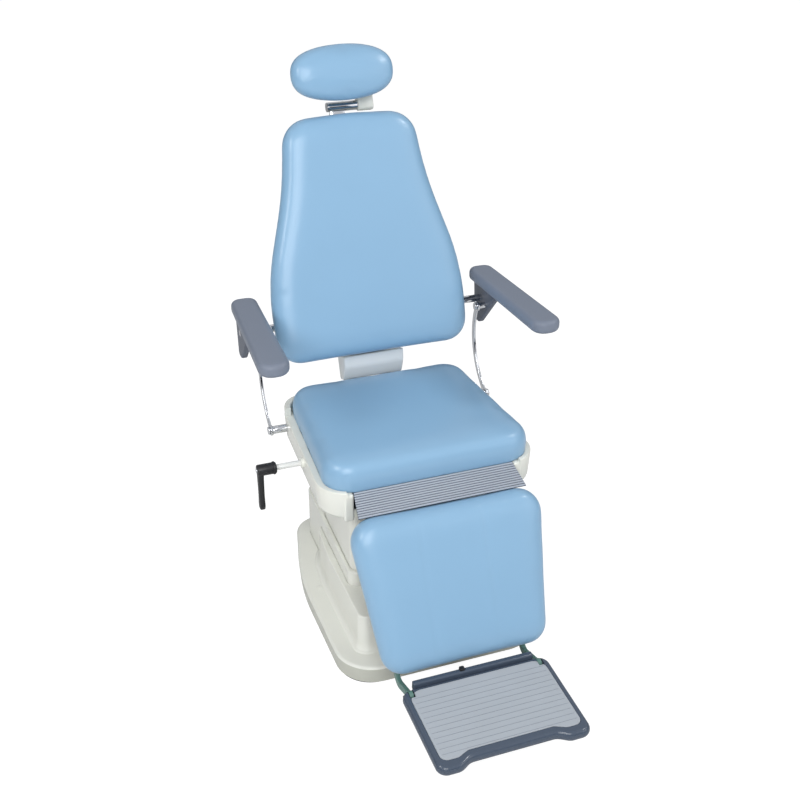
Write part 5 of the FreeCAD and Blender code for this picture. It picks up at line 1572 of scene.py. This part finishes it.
@dataclass
class Armrest:
    """Pad, wedge bracket, stud and bowed link of one armrest."""

    side: int
    word: str
    pivot_y: float = 252.0
    pivot_z: float = 674.0
    stud_y: float = 211.0
    stud_z: float = 670.0
    stud_radius: float = 8.0
    stud_lap: float = 2.0
    stud_neck_radius: float = 6.0
    stud_neck_lap: float = 1.0
    stud_head_radius: float = 10.0
    stud_head: float = 5.0
    stud_head_edge: float = 2.0
    link_foot_y: float = 139.0
    link_foot_z: float = 451.0
    link_inner_x: float = 287.0
    link_thickness: float = 6.0
    link_half_width: float = 7.0
    link_bow: float = 45.0
    link_steps: int = 32
    link_edge: float = 1.4
    link_gap: float = 0.3
    foot_bore: float = 7.3
    head_bore: float = 6.1
    bore_reach: float = 2.0
    eye_radius: float = 13.0
    eye_edge: float = 1.0
    eye_rise: float = 0.1
    eye_steps: int = 3
    bracket_inner_x: float = 313.0
    bracket_outer_x: float = 329.0
    bracket_edge: float = 4.0
    wedge: Sequence[Corner] = (Corner(250.0, 604.0, 13.0), Corner(278.0, 604.0, 13.0),
                               Corner(292.0, 731.0, 4.0), Corner(135.0, 731.0, 10.0))
    pad_plan: Sequence[Corner] = (Corner(295.0, -122.0, 32.0), Corner(367.0, -122.0, 32.0),
                                  Corner(345.0, 268.0, 24.0), Corner(281.0, 268.0, 24.0))
    pad_middle: Point = (322.0, 73.0)
    pad_foot: float = 729.0
    pad_top: float = 762.0
    pad_edge: float = 12.0
    shaft_radius: float = 9.5
    shaft_gap: float = 0.1

    def build(self) -> None:
        """Makes the four pieces on their bodies."""
        self._pad()
        self._bracket()
        self._stud()
        self._link()

    def _place(self, place: Place) -> Place:
        """The same place on this side of the chair.

        Args:
            place: place on the right side.

        Returns:
            The place with X turned to this side.
        """
        def sided(u: float, v: float, height: float) -> Vector:
            """Places a point on this side."""
            point = place(u, v, height)
            return Vector((self.side * point.x, point.y, point.z))
        return sided

    def _pad(self) -> None:
        """Long pad, wider at its front."""
        outline = Outline(self.pad_plan)
        sections = both_ends(outline, self.pad_foot, self.pad_top, self.pad_edge)
        skin_of_pad = Loft(sections, guides=(outline,), middle=self.pad_middle)
        rest = skin_of_pad.build("pad_" + self.word, self._place(level))
        dress(rest, "armrest_" + self.word, "armrest_grey", "armrest_pad_" + self.word)

    def _bracket(self) -> None:
        """Wedge that hangs the pad on the shaft, painted a darker grey as the shade under the pad."""
        plate = Slab(Outline(self.wedge).points(), self.bracket_inner_x, self.bracket_outer_x,
                     self.bracket_edge)
        bracket = plate.build("wedge_" + self.word, self._place(across))
        bore = bar("bore", self.shaft_radius + self.shaft_gap, self.bracket_inner_x - self.bracket_edge,
                   self.bracket_outer_x + self.bracket_edge,
                   self._place(along_x(self.pivot_y, self.pivot_z)))
        carve(bracket, bore)
        # The wedge gets painted shade: a darker grey than its slot.
        dress(bracket, "armrest_" + self.word, "armrest_grey", "armrest_bracket_" + self.word,
              look="wedge_grey")

    def _stud(self) -> None:
        """Chrome stud that carries the upper end of the link."""
        place = self._place(along_x(self.stud_y, self.stud_z))
        inner, outer = self.link_inner_x, self.link_inner_x + self.link_thickness
        stud = join("arm_stud_" + self.word,
                    bar("stud", self.stud_radius, outer + self.link_gap, self.bracket_inner_x + self.stud_lap,
                        place),
                    bar("neck", self.stud_neck_radius, inner - self.stud_neck_lap, outer + self.stud_neck_lap,
                        place),
                    bar("head", self.stud_head_radius, inner - self.link_gap - self.stud_head,
                        inner - self.link_gap, place, self.stud_head_edge))
        dress(stud, "armrest_" + self.word, "chrome")

    def _link(self) -> None:
        """Bowed flat bar with an eye at each end."""
        foot, head = Vector((self.link_foot_y, self.link_foot_z)), Vector((self.stud_y, self.stud_z))
        chord = head - foot
        rearward = Vector((chord.y, -chord.x)).normalized()
        radius = ((chord.length / 2) ** 2 + self.link_bow ** 2) / (2 * self.link_bow)
        centre = (foot + head) / 2 + rearward * (self.link_bow - radius)
        start = foot - centre
        turn = start.angle_signed(head - centre)
        steps = range(self.link_steps + 1)
        arms = [Matrix.Rotation(-turn * step / self.link_steps, 2) @ start for step in steps]
        outside = [tuple(centre + arm * ((radius + self.link_half_width) / radius)) for arm in arms]
        inside = [tuple(centre + arm * ((radius - self.link_half_width) / radius)) for arm in reversed(arms)]
        inner, outer = self.link_inner_x, self.link_inner_x + self.link_thickness
        flat = Slab(outside + inside, inner, outer, self.link_edge)
        strip = flat.build("strip", self._place(across))
        eyes = []
        for end, bore in ((foot, self.foot_bore), (head, self.head_bore)):
            place = self._place(along_x(end.x, end.y))
            eyes.append(self._eye(bore, place))
            carve(strip, bar("cutter", bore, inner - self.bore_reach, outer + self.bore_reach, place))
        link = join("bowed_link_" + self.word, strip, *eyes)
        dress(link, "link_" + self.word, "chrome", "armrest_link_" + self.word)

    def _eye(self, bore: float, place: Place) -> Piece:
        """Round eye of the link.

        Args:
            bore: radius of its hole.
            place: place of its axis.

        Returns:
            The finished ring.
        """
        ring, hole = Round(self.eye_radius), Round(bore)
        low, high = self.link_inner_x, self.link_inner_x + self.link_thickness
        foot, top = low - self.eye_rise, high + self.eye_rise
        sections = round_over(ring, low + self.eye_edge, foot, self.eye_edge, self.eye_steps)
        sections.reverse()
        sections += round_over(ring, high - self.eye_edge, top, self.eye_edge, self.eye_steps)
        sections += [(hole, top), (hole, foot)]
        return Loft(sections, guides=(ring,), hollow=True).build("eye", place)


@dataclass
class Headrest:
    """Oval cushion on a cream shell, with its arm, hinge tube and sliding post."""

    half_width: float = 129.0
    low_s: float = 628.0
    top_s: float = 738.0
    bulge: float = 10.0
    rear_n: float = -54.0
    front_n: float = 8.0
    crown_inset: float = 44.0
    cushion_voxel: float = 4.0
    shell_low: Corner = Corner(88.0, 634.0, 22.0)
    shell_top: Corner = Corner(80.0, 731.0, 22.0)
    shell_gap: float = 0.3
    shell_edge: float = 6.0
    shell_rear_n: float = -72.0
    tube_s: float = 607.5
    tube_n: float = -75.0
    tube_radius: float = 11.8
    tube_left_x: float = -34.0
    tube_right_x: float = 42.0
    tube_edge: float = 1.5
    tube_steps: int = 3
    pin_radius: float = 8.0
    pin_gap: float = 0.05
    pin_recess: float = 1.0
    pin_cap: float = 2.0
    pin_cap_gap: float = 0.3
    pin_cap_edge: float = 0.8
    arm_left_x: float = 42.3
    arm_right_x: float = 83.0
    arm_side: Sequence[Corner] = (Corner(593.0, -88.5, 9.0), Corner(684.0, -90.0, 5.0),
                                  Corner(684.0, -72.0, 1.0), Corner(639.7, -72.0, 1.0),
                                  Corner(633.7, -66.0, 1.0), Corner(633.7, -61.5, 2.0),
                                  Corner(593.0, -61.5, 9.0))
    arm_edge: float = 4.0
    post_flat: Sequence[Corner] = (Corner(-30.0, 404.0, 2.0), Corner(18.0, 404.0, 2.0),
                                   Corner(18.0, 585.5, 2.0), Corner(9.0, 590.5, 4.0),
                                   Corner(9.0, 598.5, 4.0), Corner(-30.0, 598.5, 1.0))
    post_half_depth: float = 4.0
    post_edge: float = 1.2

    def outline(self) -> Outline:
        """Outline of the cushion on the face of the backrest."""
        half_height = (self.top_s - self.low_s) / 2 + self.bulge
        return Oval(self.half_width, half_height, (self.low_s + self.top_s) / 2)

    def build(self) -> None:
        """Makes all pieces of the headrest."""
        middle = (0.0, (self.low_s + self.top_s) / 2)
        cushion = Cushion("headrest_cushion", self.outline(), self.rear_n, self.front_n,
                          self.crown_inset, voxel=self.cushion_voxel)
        pad(cushion, BACK.place, middle, "headrest")
        plate = Outline.both_sides(self.shell_low, self.shell_top)
        sections = [(plate, self.rear_n - self.shell_gap)]
        sections += round_over(plate, self.shell_rear_n + self.shell_edge, self.shell_rear_n, self.shell_edge)
        shell = Loft(sections, guides=(plate,), middle=middle).build("headrest_moulding", BACK.place)
        dress(shell, "headrest", "cream_plastic", "headrest_shell")
        self._arm()
        axis = BACK.place(0.0, self.tube_s, self.tube_n) / MM
        self._pin(along_x(axis.y, axis.z))
        self._post(along_x(axis.y, axis.z))

    def _arm(self) -> None:
        """Cream block that joins the shell to the hinge."""
        side = Outline(self.arm_side).points()
        arm = Slab(side, self.arm_left_x, self.arm_right_x, self.arm_edge)
        dress(arm.build("headrest_arm_block", BACK.place_across), "headrest", "cream_plastic", "headrest_arm")

    def _pin(self, place: Place) -> None:
        """Hinge pin with its cap.

        Args:
            place: place of the hinge axis.
        """
        end = self.tube_left_x - self.pin_cap_gap
        pin = join("hinge_pin_turned",
                   bar("pin", self.pin_radius, end, self.arm_right_x - self.pin_recess, place),
                   bar("cap", self.tube_radius, end - self.pin_cap, end, place, self.pin_cap_edge))
        dress(pin, "headrest", "chrome", "headrest_hinge_pin")

    def _post(self, place: Place) -> None:
        """Flat chrome post with the hinge tube on its top.

        Args:
            place: place of the hinge axis.
        """
        post = Slab(Outline(self.post_flat).points(), self.tube_n - self.post_half_depth,
                    self.tube_n + self.post_half_depth, self.post_edge)
        strip = post.build("strip", BACK.place)
        ring, hole = Round(self.tube_radius), Round(self.pin_radius + self.pin_gap)
        sections = both_ends(ring, self.tube_left_x, self.tube_right_x, self.tube_edge, self.tube_steps)
        sections += [(hole, self.tube_right_x), (hole, self.tube_left_x)]
        tube = Loft(sections, guides=(ring,), hollow=True).build("tube", place)
        dress(join("sliding_post", strip, tube), "headrest_carrier", "chrome", "headrest_post")


@dataclass
class Legrest:
    """Legrest cushion with two long creases, and the green brackets of the footrest."""

    top_half_width: float = 240.0
    low_half_width: float = 200.0
    length: float = 366.0
    top_round: float = 58.0
    low_round: float = 52.0
    rear_n: float = -60.0
    front_n: float = 6.0
    cushion_crown: float = 4.0
    crown_inset: float = 60.0
    crease_x: float = 78.0
    crease_width: float = 7.0
    crease_depth: float = 0.8
    bracket_inner_x: float = 152.0
    bracket_outer_x: float = 162.0
    bracket_side: Sequence[Corner] = (Corner(-320.0, -72.3, 3.0), Corner(-387.0, -72.3, 18.0),
                                      Corner(-398.5, 4.2, 3.0), Corner(-414.5, 4.2, 3.0),
                                      Corner(-403.0, -88.3, 30.0), Corner(-320.0, -88.3, 3.0))
    bracket_edge: float = 1.5
    pivot_s: float = -406.5
    pivot_n: float = 4.2
    eye_radius: float = 12.0
    bore_radius: float = 5.05
    bore_reach: float = 3.0

    def outline(self) -> Outline:
        """Outline of the cushion on the face of the legrest."""
        return Outline.both_sides(Corner(self.low_half_width, -self.length, self.low_round),
                                  Corner(self.top_half_width, 0.0, self.top_round))

    def build(self) -> None:
        """Makes cushion and brackets."""
        cushion = Cushion("legrest_cushion", self.outline(), self.rear_n, self.front_n,
                          self.crown_inset, crown=self.cushion_crown)
        pad(cushion, LEG.place, (0.0, -self.length / 2), "legrest", self._crease)
        pieces = [self._bracket(side) for side in (-1, 1)]
        dress(join("bent_brackets", *pieces), "legrest", "bracket_green", "footrest_brackets")

    def _crease(self, piece: Piece) -> None:
        """Presses two shallow creases down the face.

        Args:
            piece: the cushion.
        """
        outward = LEG.outward()
        for vertex in piece.data.vertices:
            if LEG.depth(vertex.co) < 0.0:
                continue
            away = (abs(vertex.co.x) / MM - self.crease_x) / self.crease_width
            vertex.co -= outward * (self.crease_depth * MM * math.exp(-away * away))

    def _bracket(self, side: int) -> Piece:
        """Bent flat strip from the legrest frame to the footrest pivot.

        Args:
            side: -1 for the left one, 1 for the right one.

        Returns:
            The strip with its eye.
        """
        low, high = sorted((side * self.bracket_inner_x, side * self.bracket_outer_x))
        flat = Slab(Outline(self.bracket_side).points(), low, high, self.bracket_edge)
        strip = flat.build("strip", LEG.place_across)
        pivot = LEG.place(0.0, self.pivot_s, self.pivot_n) / MM
        place = along_x(pivot.y, pivot.z)
        eye = bar("eye", self.eye_radius, low, high, place, self.bracket_edge)
        for piece in (strip, eye):
            carve(piece, bar("bore", self.bore_radius, low - self.bore_reach, high + self.bore_reach, place))
        return join("bracket", strip, eye)


@dataclass
class Footrest:
    """Slate frame with a notched front, ribbed mat, pivot bolts and stop."""

    pivot_y: float = -498.0
    pivot_z: float = 90.0
    rear_y: float = -486.0
    top_z: float = 103.0
    slope: float = 3.5
    rim: Sequence[Corner] = (Corner(100.0, -710.0, 30.0), Corner(126.0, -726.0, 30.0),
                             Corner(179.0, -726.0, 45.0), Corner(179.0, -486.0, 26.0))
    thickness: float = 26.0
    edge: float = 10.0
    mat: Sequence[Corner] = (Corner(100.0, -690.0, 22.0), Corner(126.0, -702.0, 22.0),
                             Corner(164.0, -702.0, 22.0), Corner(164.0, -498.0, 30.0))
    mat_recess: float = 3.5
    mat_top: float = 0.5
    mat_shoulder: float = -0.5
    mat_edge: float = 1.0
    mat_steps: int = 3
    recess_lip: float = 1.0
    recess_gap: float = 0.5
    recess_drop: float = 0.8
    recess_floor_gap: float = 0.4
    middle: Point = (0.0, -531.0)
    rib_count: int = 12
    rib_radius: float = 0.7
    rib_edge: float = 0.2
    rib_rise: float = 0.5
    rib_flatness: float = 0.7
    rib_half: float = 158.0
    rib_front_y: float = -686.0
    rib_rear_y: float = -520.0
    slot_inner_x: float = 150.0
    slot_outer_x: float = 164.0
    slot_front_y: float = -516.0
    slot_rear_y: float = -446.0
    slot_top: float = 200.0
    slot_edge: float = 1.0
    bolt_radius: float = 5.0
    bolt_inner_x: float = 140.0
    bolt_outer_x: float = 174.0
    washer_radius: float = 8.5
    washer_inner_x: float = 162.4
    washer_outer_x: float = 166.4
    washer_edge: float = 1.2
    bar_section: Sequence[Corner] = (Corner(-489.0, -14.0, 3.0), Corner(-475.0, -14.0, 5.0),
                                     Corner(-475.0, 10.0, 4.0), Corner(-489.0, 10.0, 4.0))
    bar_half: float = 146.0
    bar_edge: float = 2.0
    stop_low: Point = (-33.0, -485.0)
    stop_high: Point = (-21.0, -473.0)
    stop_front_round: float = 1.0
    stop_rear_round: float = 3.0
    stop_foot: float = -14.0
    stop_top: float = 15.0
    stop_edge: float = 1.5

    def place(self, x: float, y: float, height: float) -> Vector:
        """Places a point of the level footrest on its slope.

        Args:
            x: position across the chair.
            y: position along the chair, as if the footrest were level.
            height: height over its top face.

        Returns:
            The point in the chair, in metres.
        """
        angle = math.radians(self.slope)
        away = y - self.rear_y
        return Vector((x, self.rear_y + away * math.cos(angle) - height * math.sin(angle),
                       self.top_z + away * math.sin(angle) + height * math.cos(angle))) * MM

    def place_across(self, y: float, height: float, x: float) -> Vector:
        """Places an outline drawn from the side of the footrest."""
        return self.place(x, y, height)

    def build(self, pattern: Pattern) -> None:
        """Makes all pieces of the footrest.

        Args:
            pattern: tree that sets out what repeats.
        """
        rim, mat = Outline.both_sides(*self.rim), Outline.both_sides(*self.mat)
        sections = round_over(rim, -self.thickness / 2, -self.thickness, self.edge)
        sections.reverse()
        sections += round_over(rim, -self.thickness / 2, 0.0, self.edge)
        sections += [(mat.inset(-self.recess_lip), 0.0), (mat.inset(-self.recess_gap), -self.recess_drop),
                     (mat.inset(-self.recess_floor_gap), -self.mat_recess)]
        slab = Loft(sections, guides=(rim, mat), middle=self.middle).build("footrest_rim", self.place)
        dress(carve(slab, *self._slots()), "footrest", "footrest_slate", "footrest_frame")
        sections = [(mat, -self.mat_recess)]
        sections += round_over(mat, self.mat_shoulder, self.mat_top, self.mat_edge, self.mat_steps)
        sheet = Loft(sections, guides=(mat,), middle=self.middle).build("footrest_tread", self.place)
        dress(carve(sheet, *self._slots()), "footrest", "mat_grey", "footrest_mat")
        self._ribs(pattern)
        self._bolts()
        self._rear_bar()

    def _slots(self) -> list[Piece]:
        """Cutters for the slots that the legrest brackets enter.

        Returns:
            The left and the right cutter.
        """
        cutters = []
        for side in (-1, 1):
            low, high = sorted((side * self.slot_inner_x, side * self.slot_outer_x))
            cutters.append(block("slot", (low, self.slot_front_y, 0.0),
                                 (high, self.slot_rear_y, self.slot_top), self.slot_edge))
        return cutters

    def _ribs(self, pattern: Pattern) -> None:
        """Fine raised lines across the mat.

        Args:
            pattern: tree that sets them out.
        """
        low, high = self.rib_front_y, self.rib_rear_y
        rib = bar("rib", self.rib_radius, -1.0, 1.0, along_x(0.0, 0.0), self.rib_edge)
        spots = []
        for index in range(self.rib_count):
            y = low + (high - low) * index / (self.rib_count - 1)
            size = (self.rib_half, 1.0, self.rib_flatness)
            spots.append(Spot(self.place(0.0, y, self.rib_rise), size=size))
        ribs = pattern.lay("mat_ribs", rib, spots, "mat_line")
        dress(ribs, "footrest", "mat_grey", look="mat_line")

    def _bolts(self) -> None:
        """Pivot bolts with their washers."""
        place = along_x(self.pivot_y, self.pivot_z)
        bolts = []
        for side in (-1, 1):
            low, high = sorted((side * self.bolt_inner_x, side * self.bolt_outer_x))
            bolts.append(bar("bolt", self.bolt_radius, low, high, place))
            low, high = sorted((side * self.washer_inner_x, side * self.washer_outer_x))
            bolts.append(bar("washer", self.washer_radius, low, high, place, self.washer_edge))
        dress(join("pivot_bolts_turned", *bolts), "footrest", "bright_steel", "footrest_pivot_bolts",
              look="black_plastic")

    def _rear_bar(self) -> None:
        """Slate bar along the rear edge, and the small black stop on it."""
        section = Outline(self.bar_section).points()
        rail = Slab(section, -self.bar_half, self.bar_half, self.bar_edge)
        dress(rail.build("footrest_rear_bar", self.place_across), "footrest", "footrest_slate")
        corners = Outline.rectangle(self.stop_low, self.stop_high, self.stop_front_round,
                                    self.stop_rear_round)
        stop = Slab(corners.points(), self.stop_foot, self.stop_top, self.stop_edge)
        dress(stop.build("rubber_stop", self.place), "footrest", "black_plastic", "footrest_stop")


@dataclass(frozen=True)
class Lamp:
    """Square soft lamp: where it stands, what it faces, its size in metres and its power in watts."""

    name: str
    at: Triple
    to: Triple
    size: float
    power: float

    def build(self) -> None:
        """Sets the lamp up."""
        data = bpy.data.lights.new(self.name, "AREA")
        data.size = self.size
        data.energy = self.power
        lamp = bpy.data.objects.new(self.name, data)
        lamp.location = self.at
        lamp.rotation_euler = (Vector(self.to) - Vector(self.at)).to_track_quat("-Z", "Y").to_euler()
        bpy.context.scene.collection.objects.link(lamp)


@dataclass
class Studio:
    """White floor, soft light and the camera of the photo."""

    camera_at: Triple = (-0.8595, -2.3347, 1.9073)
    backward: Triple = (-0.3034, -0.8244, 0.4778)
    lens: float = 52.66
    roll: float = 0.11
    sensor: float = 36.0
    lamps: Sequence[Lamp] = (Lamp("key", (-1.4, -3.3, 2.8), (0.0, -0.1, 0.6), 2.4, 86.0),
                             Lamp("left_strip", (-2.6, -0.8, 2.6), (0.0, -0.1, 0.3), 0.9, 30.0),
                             Lamp("right_top", (2.3, -0.8, 3.2), (0.0, 0.0, 0.8), 0.7, 24.0),
                             Lamp("fill", (2.6, -2.6, 1.8), (0.0, 0.0, 0.6), 2.4, 20.0),
                             Lamp("glint", (-0.9, -2.7, 3.3), (0.0, -0.3, 0.4), 0.2, 5.0))
    floor_half: float = 14.0
    floor_grey: float = 0.92
    floor_glow: float = 1.24
    shadow_share: float = 0.25
    floor_bounce: float = 0.85
    soft_colour: Triple = (0.96, 0.98, 1.0)
    soft_strength: float = 0.36
    white_strength: float = 1.02
    room_low: Triple = (0.03, 0.03, 0.035)
    room_low_at: float = 0.16
    room_high: Triple = (0.75, 0.76, 0.78)
    room_high_at: float = 0.42

    def build(self) -> None:
        """Makes camera, lamps, floor and world."""
        self._camera()
        for lamp in self.lamps:
            lamp.build()
        self._floor()
        self._world()
        bpy.context.scene.view_settings.view_transform = "Standard"

    def _camera(self) -> None:
        """Camera at the angle of the photo."""
        data = bpy.data.cameras.new("camera")
        data.lens = self.lens
        data.sensor_width = self.sensor
        camera = in_scene("camera", data)
        back = Vector(self.backward).normalized()
        right = Vector((0.0, 0.0, 1.0)).cross(back).normalized()
        up = back.cross(right)
        turn = Matrix((right, up, back)).transposed().to_4x4()
        turn = turn @ Matrix.Rotation(math.radians(self.roll), 4, "Z")
        camera.matrix_world = Matrix.Translation(self.camera_at) @ turn
        bpy.context.scene.camera = camera

    def _floor(self) -> None:
        """Wide floor that shows white to the camera and keeps a soft shadow."""
        mesh = bpy.data.meshes.new("floor")
        half = self.floor_half
        corners = [(-half, -half, 0.0), (half, -half, 0.0), (half, half, 0.0), (-half, half, 0.0)]
        mesh.from_pydata(corners, [], [(0, 1, 2, 3)])
        floor = in_scene("floor", mesh)
        material = bpy.data.materials.new("studio_floor")
        material.use_nodes = True
        tree = material.node_tree
        tree.nodes.clear()
        diffuse = tree.nodes.new("ShaderNodeBsdfDiffuse")
        diffuse.inputs["Color"].default_value = (self.floor_grey, self.floor_grey, self.floor_grey, 1.0)
        glow = tree.nodes.new("ShaderNodeEmission")
        glow.inputs["Strength"].default_value = self.floor_glow
        lit = tree.nodes.new("ShaderNodeMixShader")
        lit.inputs["Fac"].default_value = self.shadow_share
        tree.links.new(glow.outputs["Emission"], lit.inputs[1])
        tree.links.new(diffuse.outputs["BSDF"], lit.inputs[2])
        dim = tree.nodes.new("ShaderNodeBsdfDiffuse")
        dim.inputs["Color"].default_value = (self.floor_bounce, self.floor_bounce, self.floor_bounce, 1.0)
        path = tree.nodes.new("ShaderNodeLightPath")
        seen = tree.nodes.new("ShaderNodeMixShader")
        tree.links.new(path.outputs["Is Camera Ray"], seen.inputs["Fac"])
        tree.links.new(dim.outputs["BSDF"], seen.inputs[1])
        tree.links.new(lit.outputs["Shader"], seen.inputs[2])
        output = tree.nodes.new("ShaderNodeOutputMaterial")
        tree.links.new(seen.outputs["Shader"], output.inputs["Surface"])
        mesh.materials.append(material)

    def _world(self) -> None:
        """White surroundings for the camera, a bright room for mirrors and a soft light for the rest."""
        world = bpy.data.worlds.new("studio")
        bpy.context.scene.world = world
        world.use_nodes = True
        tree = world.node_tree
        tree.nodes.clear()
        soft = tree.nodes.new("ShaderNodeBackground")
        soft.inputs["Color"].default_value = (*self.soft_colour, 1.0)
        soft.inputs["Strength"].default_value = self.soft_strength
        white = tree.nodes.new("ShaderNodeBackground")
        white.inputs["Color"].default_value = (1.0, 1.0, 1.0, 1.0)
        white.inputs["Strength"].default_value = self.white_strength
        mirrored_room = tree.nodes.new("ShaderNodeBackground")
        direction = tree.nodes.new("ShaderNodeTexCoord")
        parts = tree.nodes.new("ShaderNodeSeparateXYZ")
        ramp = tree.nodes.new("ShaderNodeValToRGB")
        tree.links.new(direction.outputs["Generated"], parts.inputs["Vector"])
        tree.links.new(parts.outputs["Z"], ramp.inputs["Fac"])
        tree.links.new(ramp.outputs["Color"], mirrored_room.inputs["Color"])
        ends = ramp.color_ramp.elements
        ends[0].color = (*self.room_low, 1.0)
        ends[0].position = self.room_low_at
        ends[1].color = (*self.room_high, 1.0)
        ends[1].position = self.room_high_at
        path = tree.nodes.new("ShaderNodeLightPath")
        room = tree.nodes.new("ShaderNodeMixShader")
        tree.links.new(path.outputs["Is Glossy Ray"], room.inputs["Fac"])
        tree.links.new(soft.outputs["Background"], room.inputs[1])
        tree.links.new(mirrored_room.outputs["Background"], room.inputs[2])
        mix = tree.nodes.new("ShaderNodeMixShader")
        tree.links.new(path.outputs["Is Camera Ray"], mix.inputs["Fac"])
        tree.links.new(room.outputs["Shader"], mix.inputs[1])
        tree.links.new(white.outputs["Background"], mix.inputs[2])
        output = tree.nodes.new("ShaderNodeOutputWorld")
        tree.links.new(mix.outputs["Shader"], output.inputs["Surface"])


def dress_carried_nodes() -> None:
    """Gives each CAD node that stays in view the finish of its slot, or the one that its edge shows."""
    slots = {entry["node"]: entry["material_slot"] for entry in frame["record"]["subparts"]}
    looks = {"legrest_board": "lining", "back_board": "cream_plastic"}
    for name, node in frame["nodes"].items():
        if node.hide_render:
            continue
        material = FINISHES[looks.get(name, slots[name])].material()
        if not node.material_slots:
            node.data.materials.append(material)
        for slot in node.material_slots:
            slot.material = material
        log.info("%s: carried over with %s", name, slots[name])


def main() -> None:
    """Builds the chair, piece by piece, and the studio round it."""
    logging.basicConfig(level=logging.INFO, format="%(name)s: %(message)s")
    pattern = Pattern()
    Base().build(pattern)
    ColumnCovers().build()
    Seat().build(pattern)
    SwivelLock().build()
    Backrest().build()
    for side, word in ((-1, "left"), (1, "right")):
        Armrest(side, word).build()
    Headrest().build()
    Legrest().build()
    Footrest().build(pattern)
    dress_carried_nodes()
    Studio().build()


if __name__ == "__main__":
    main()
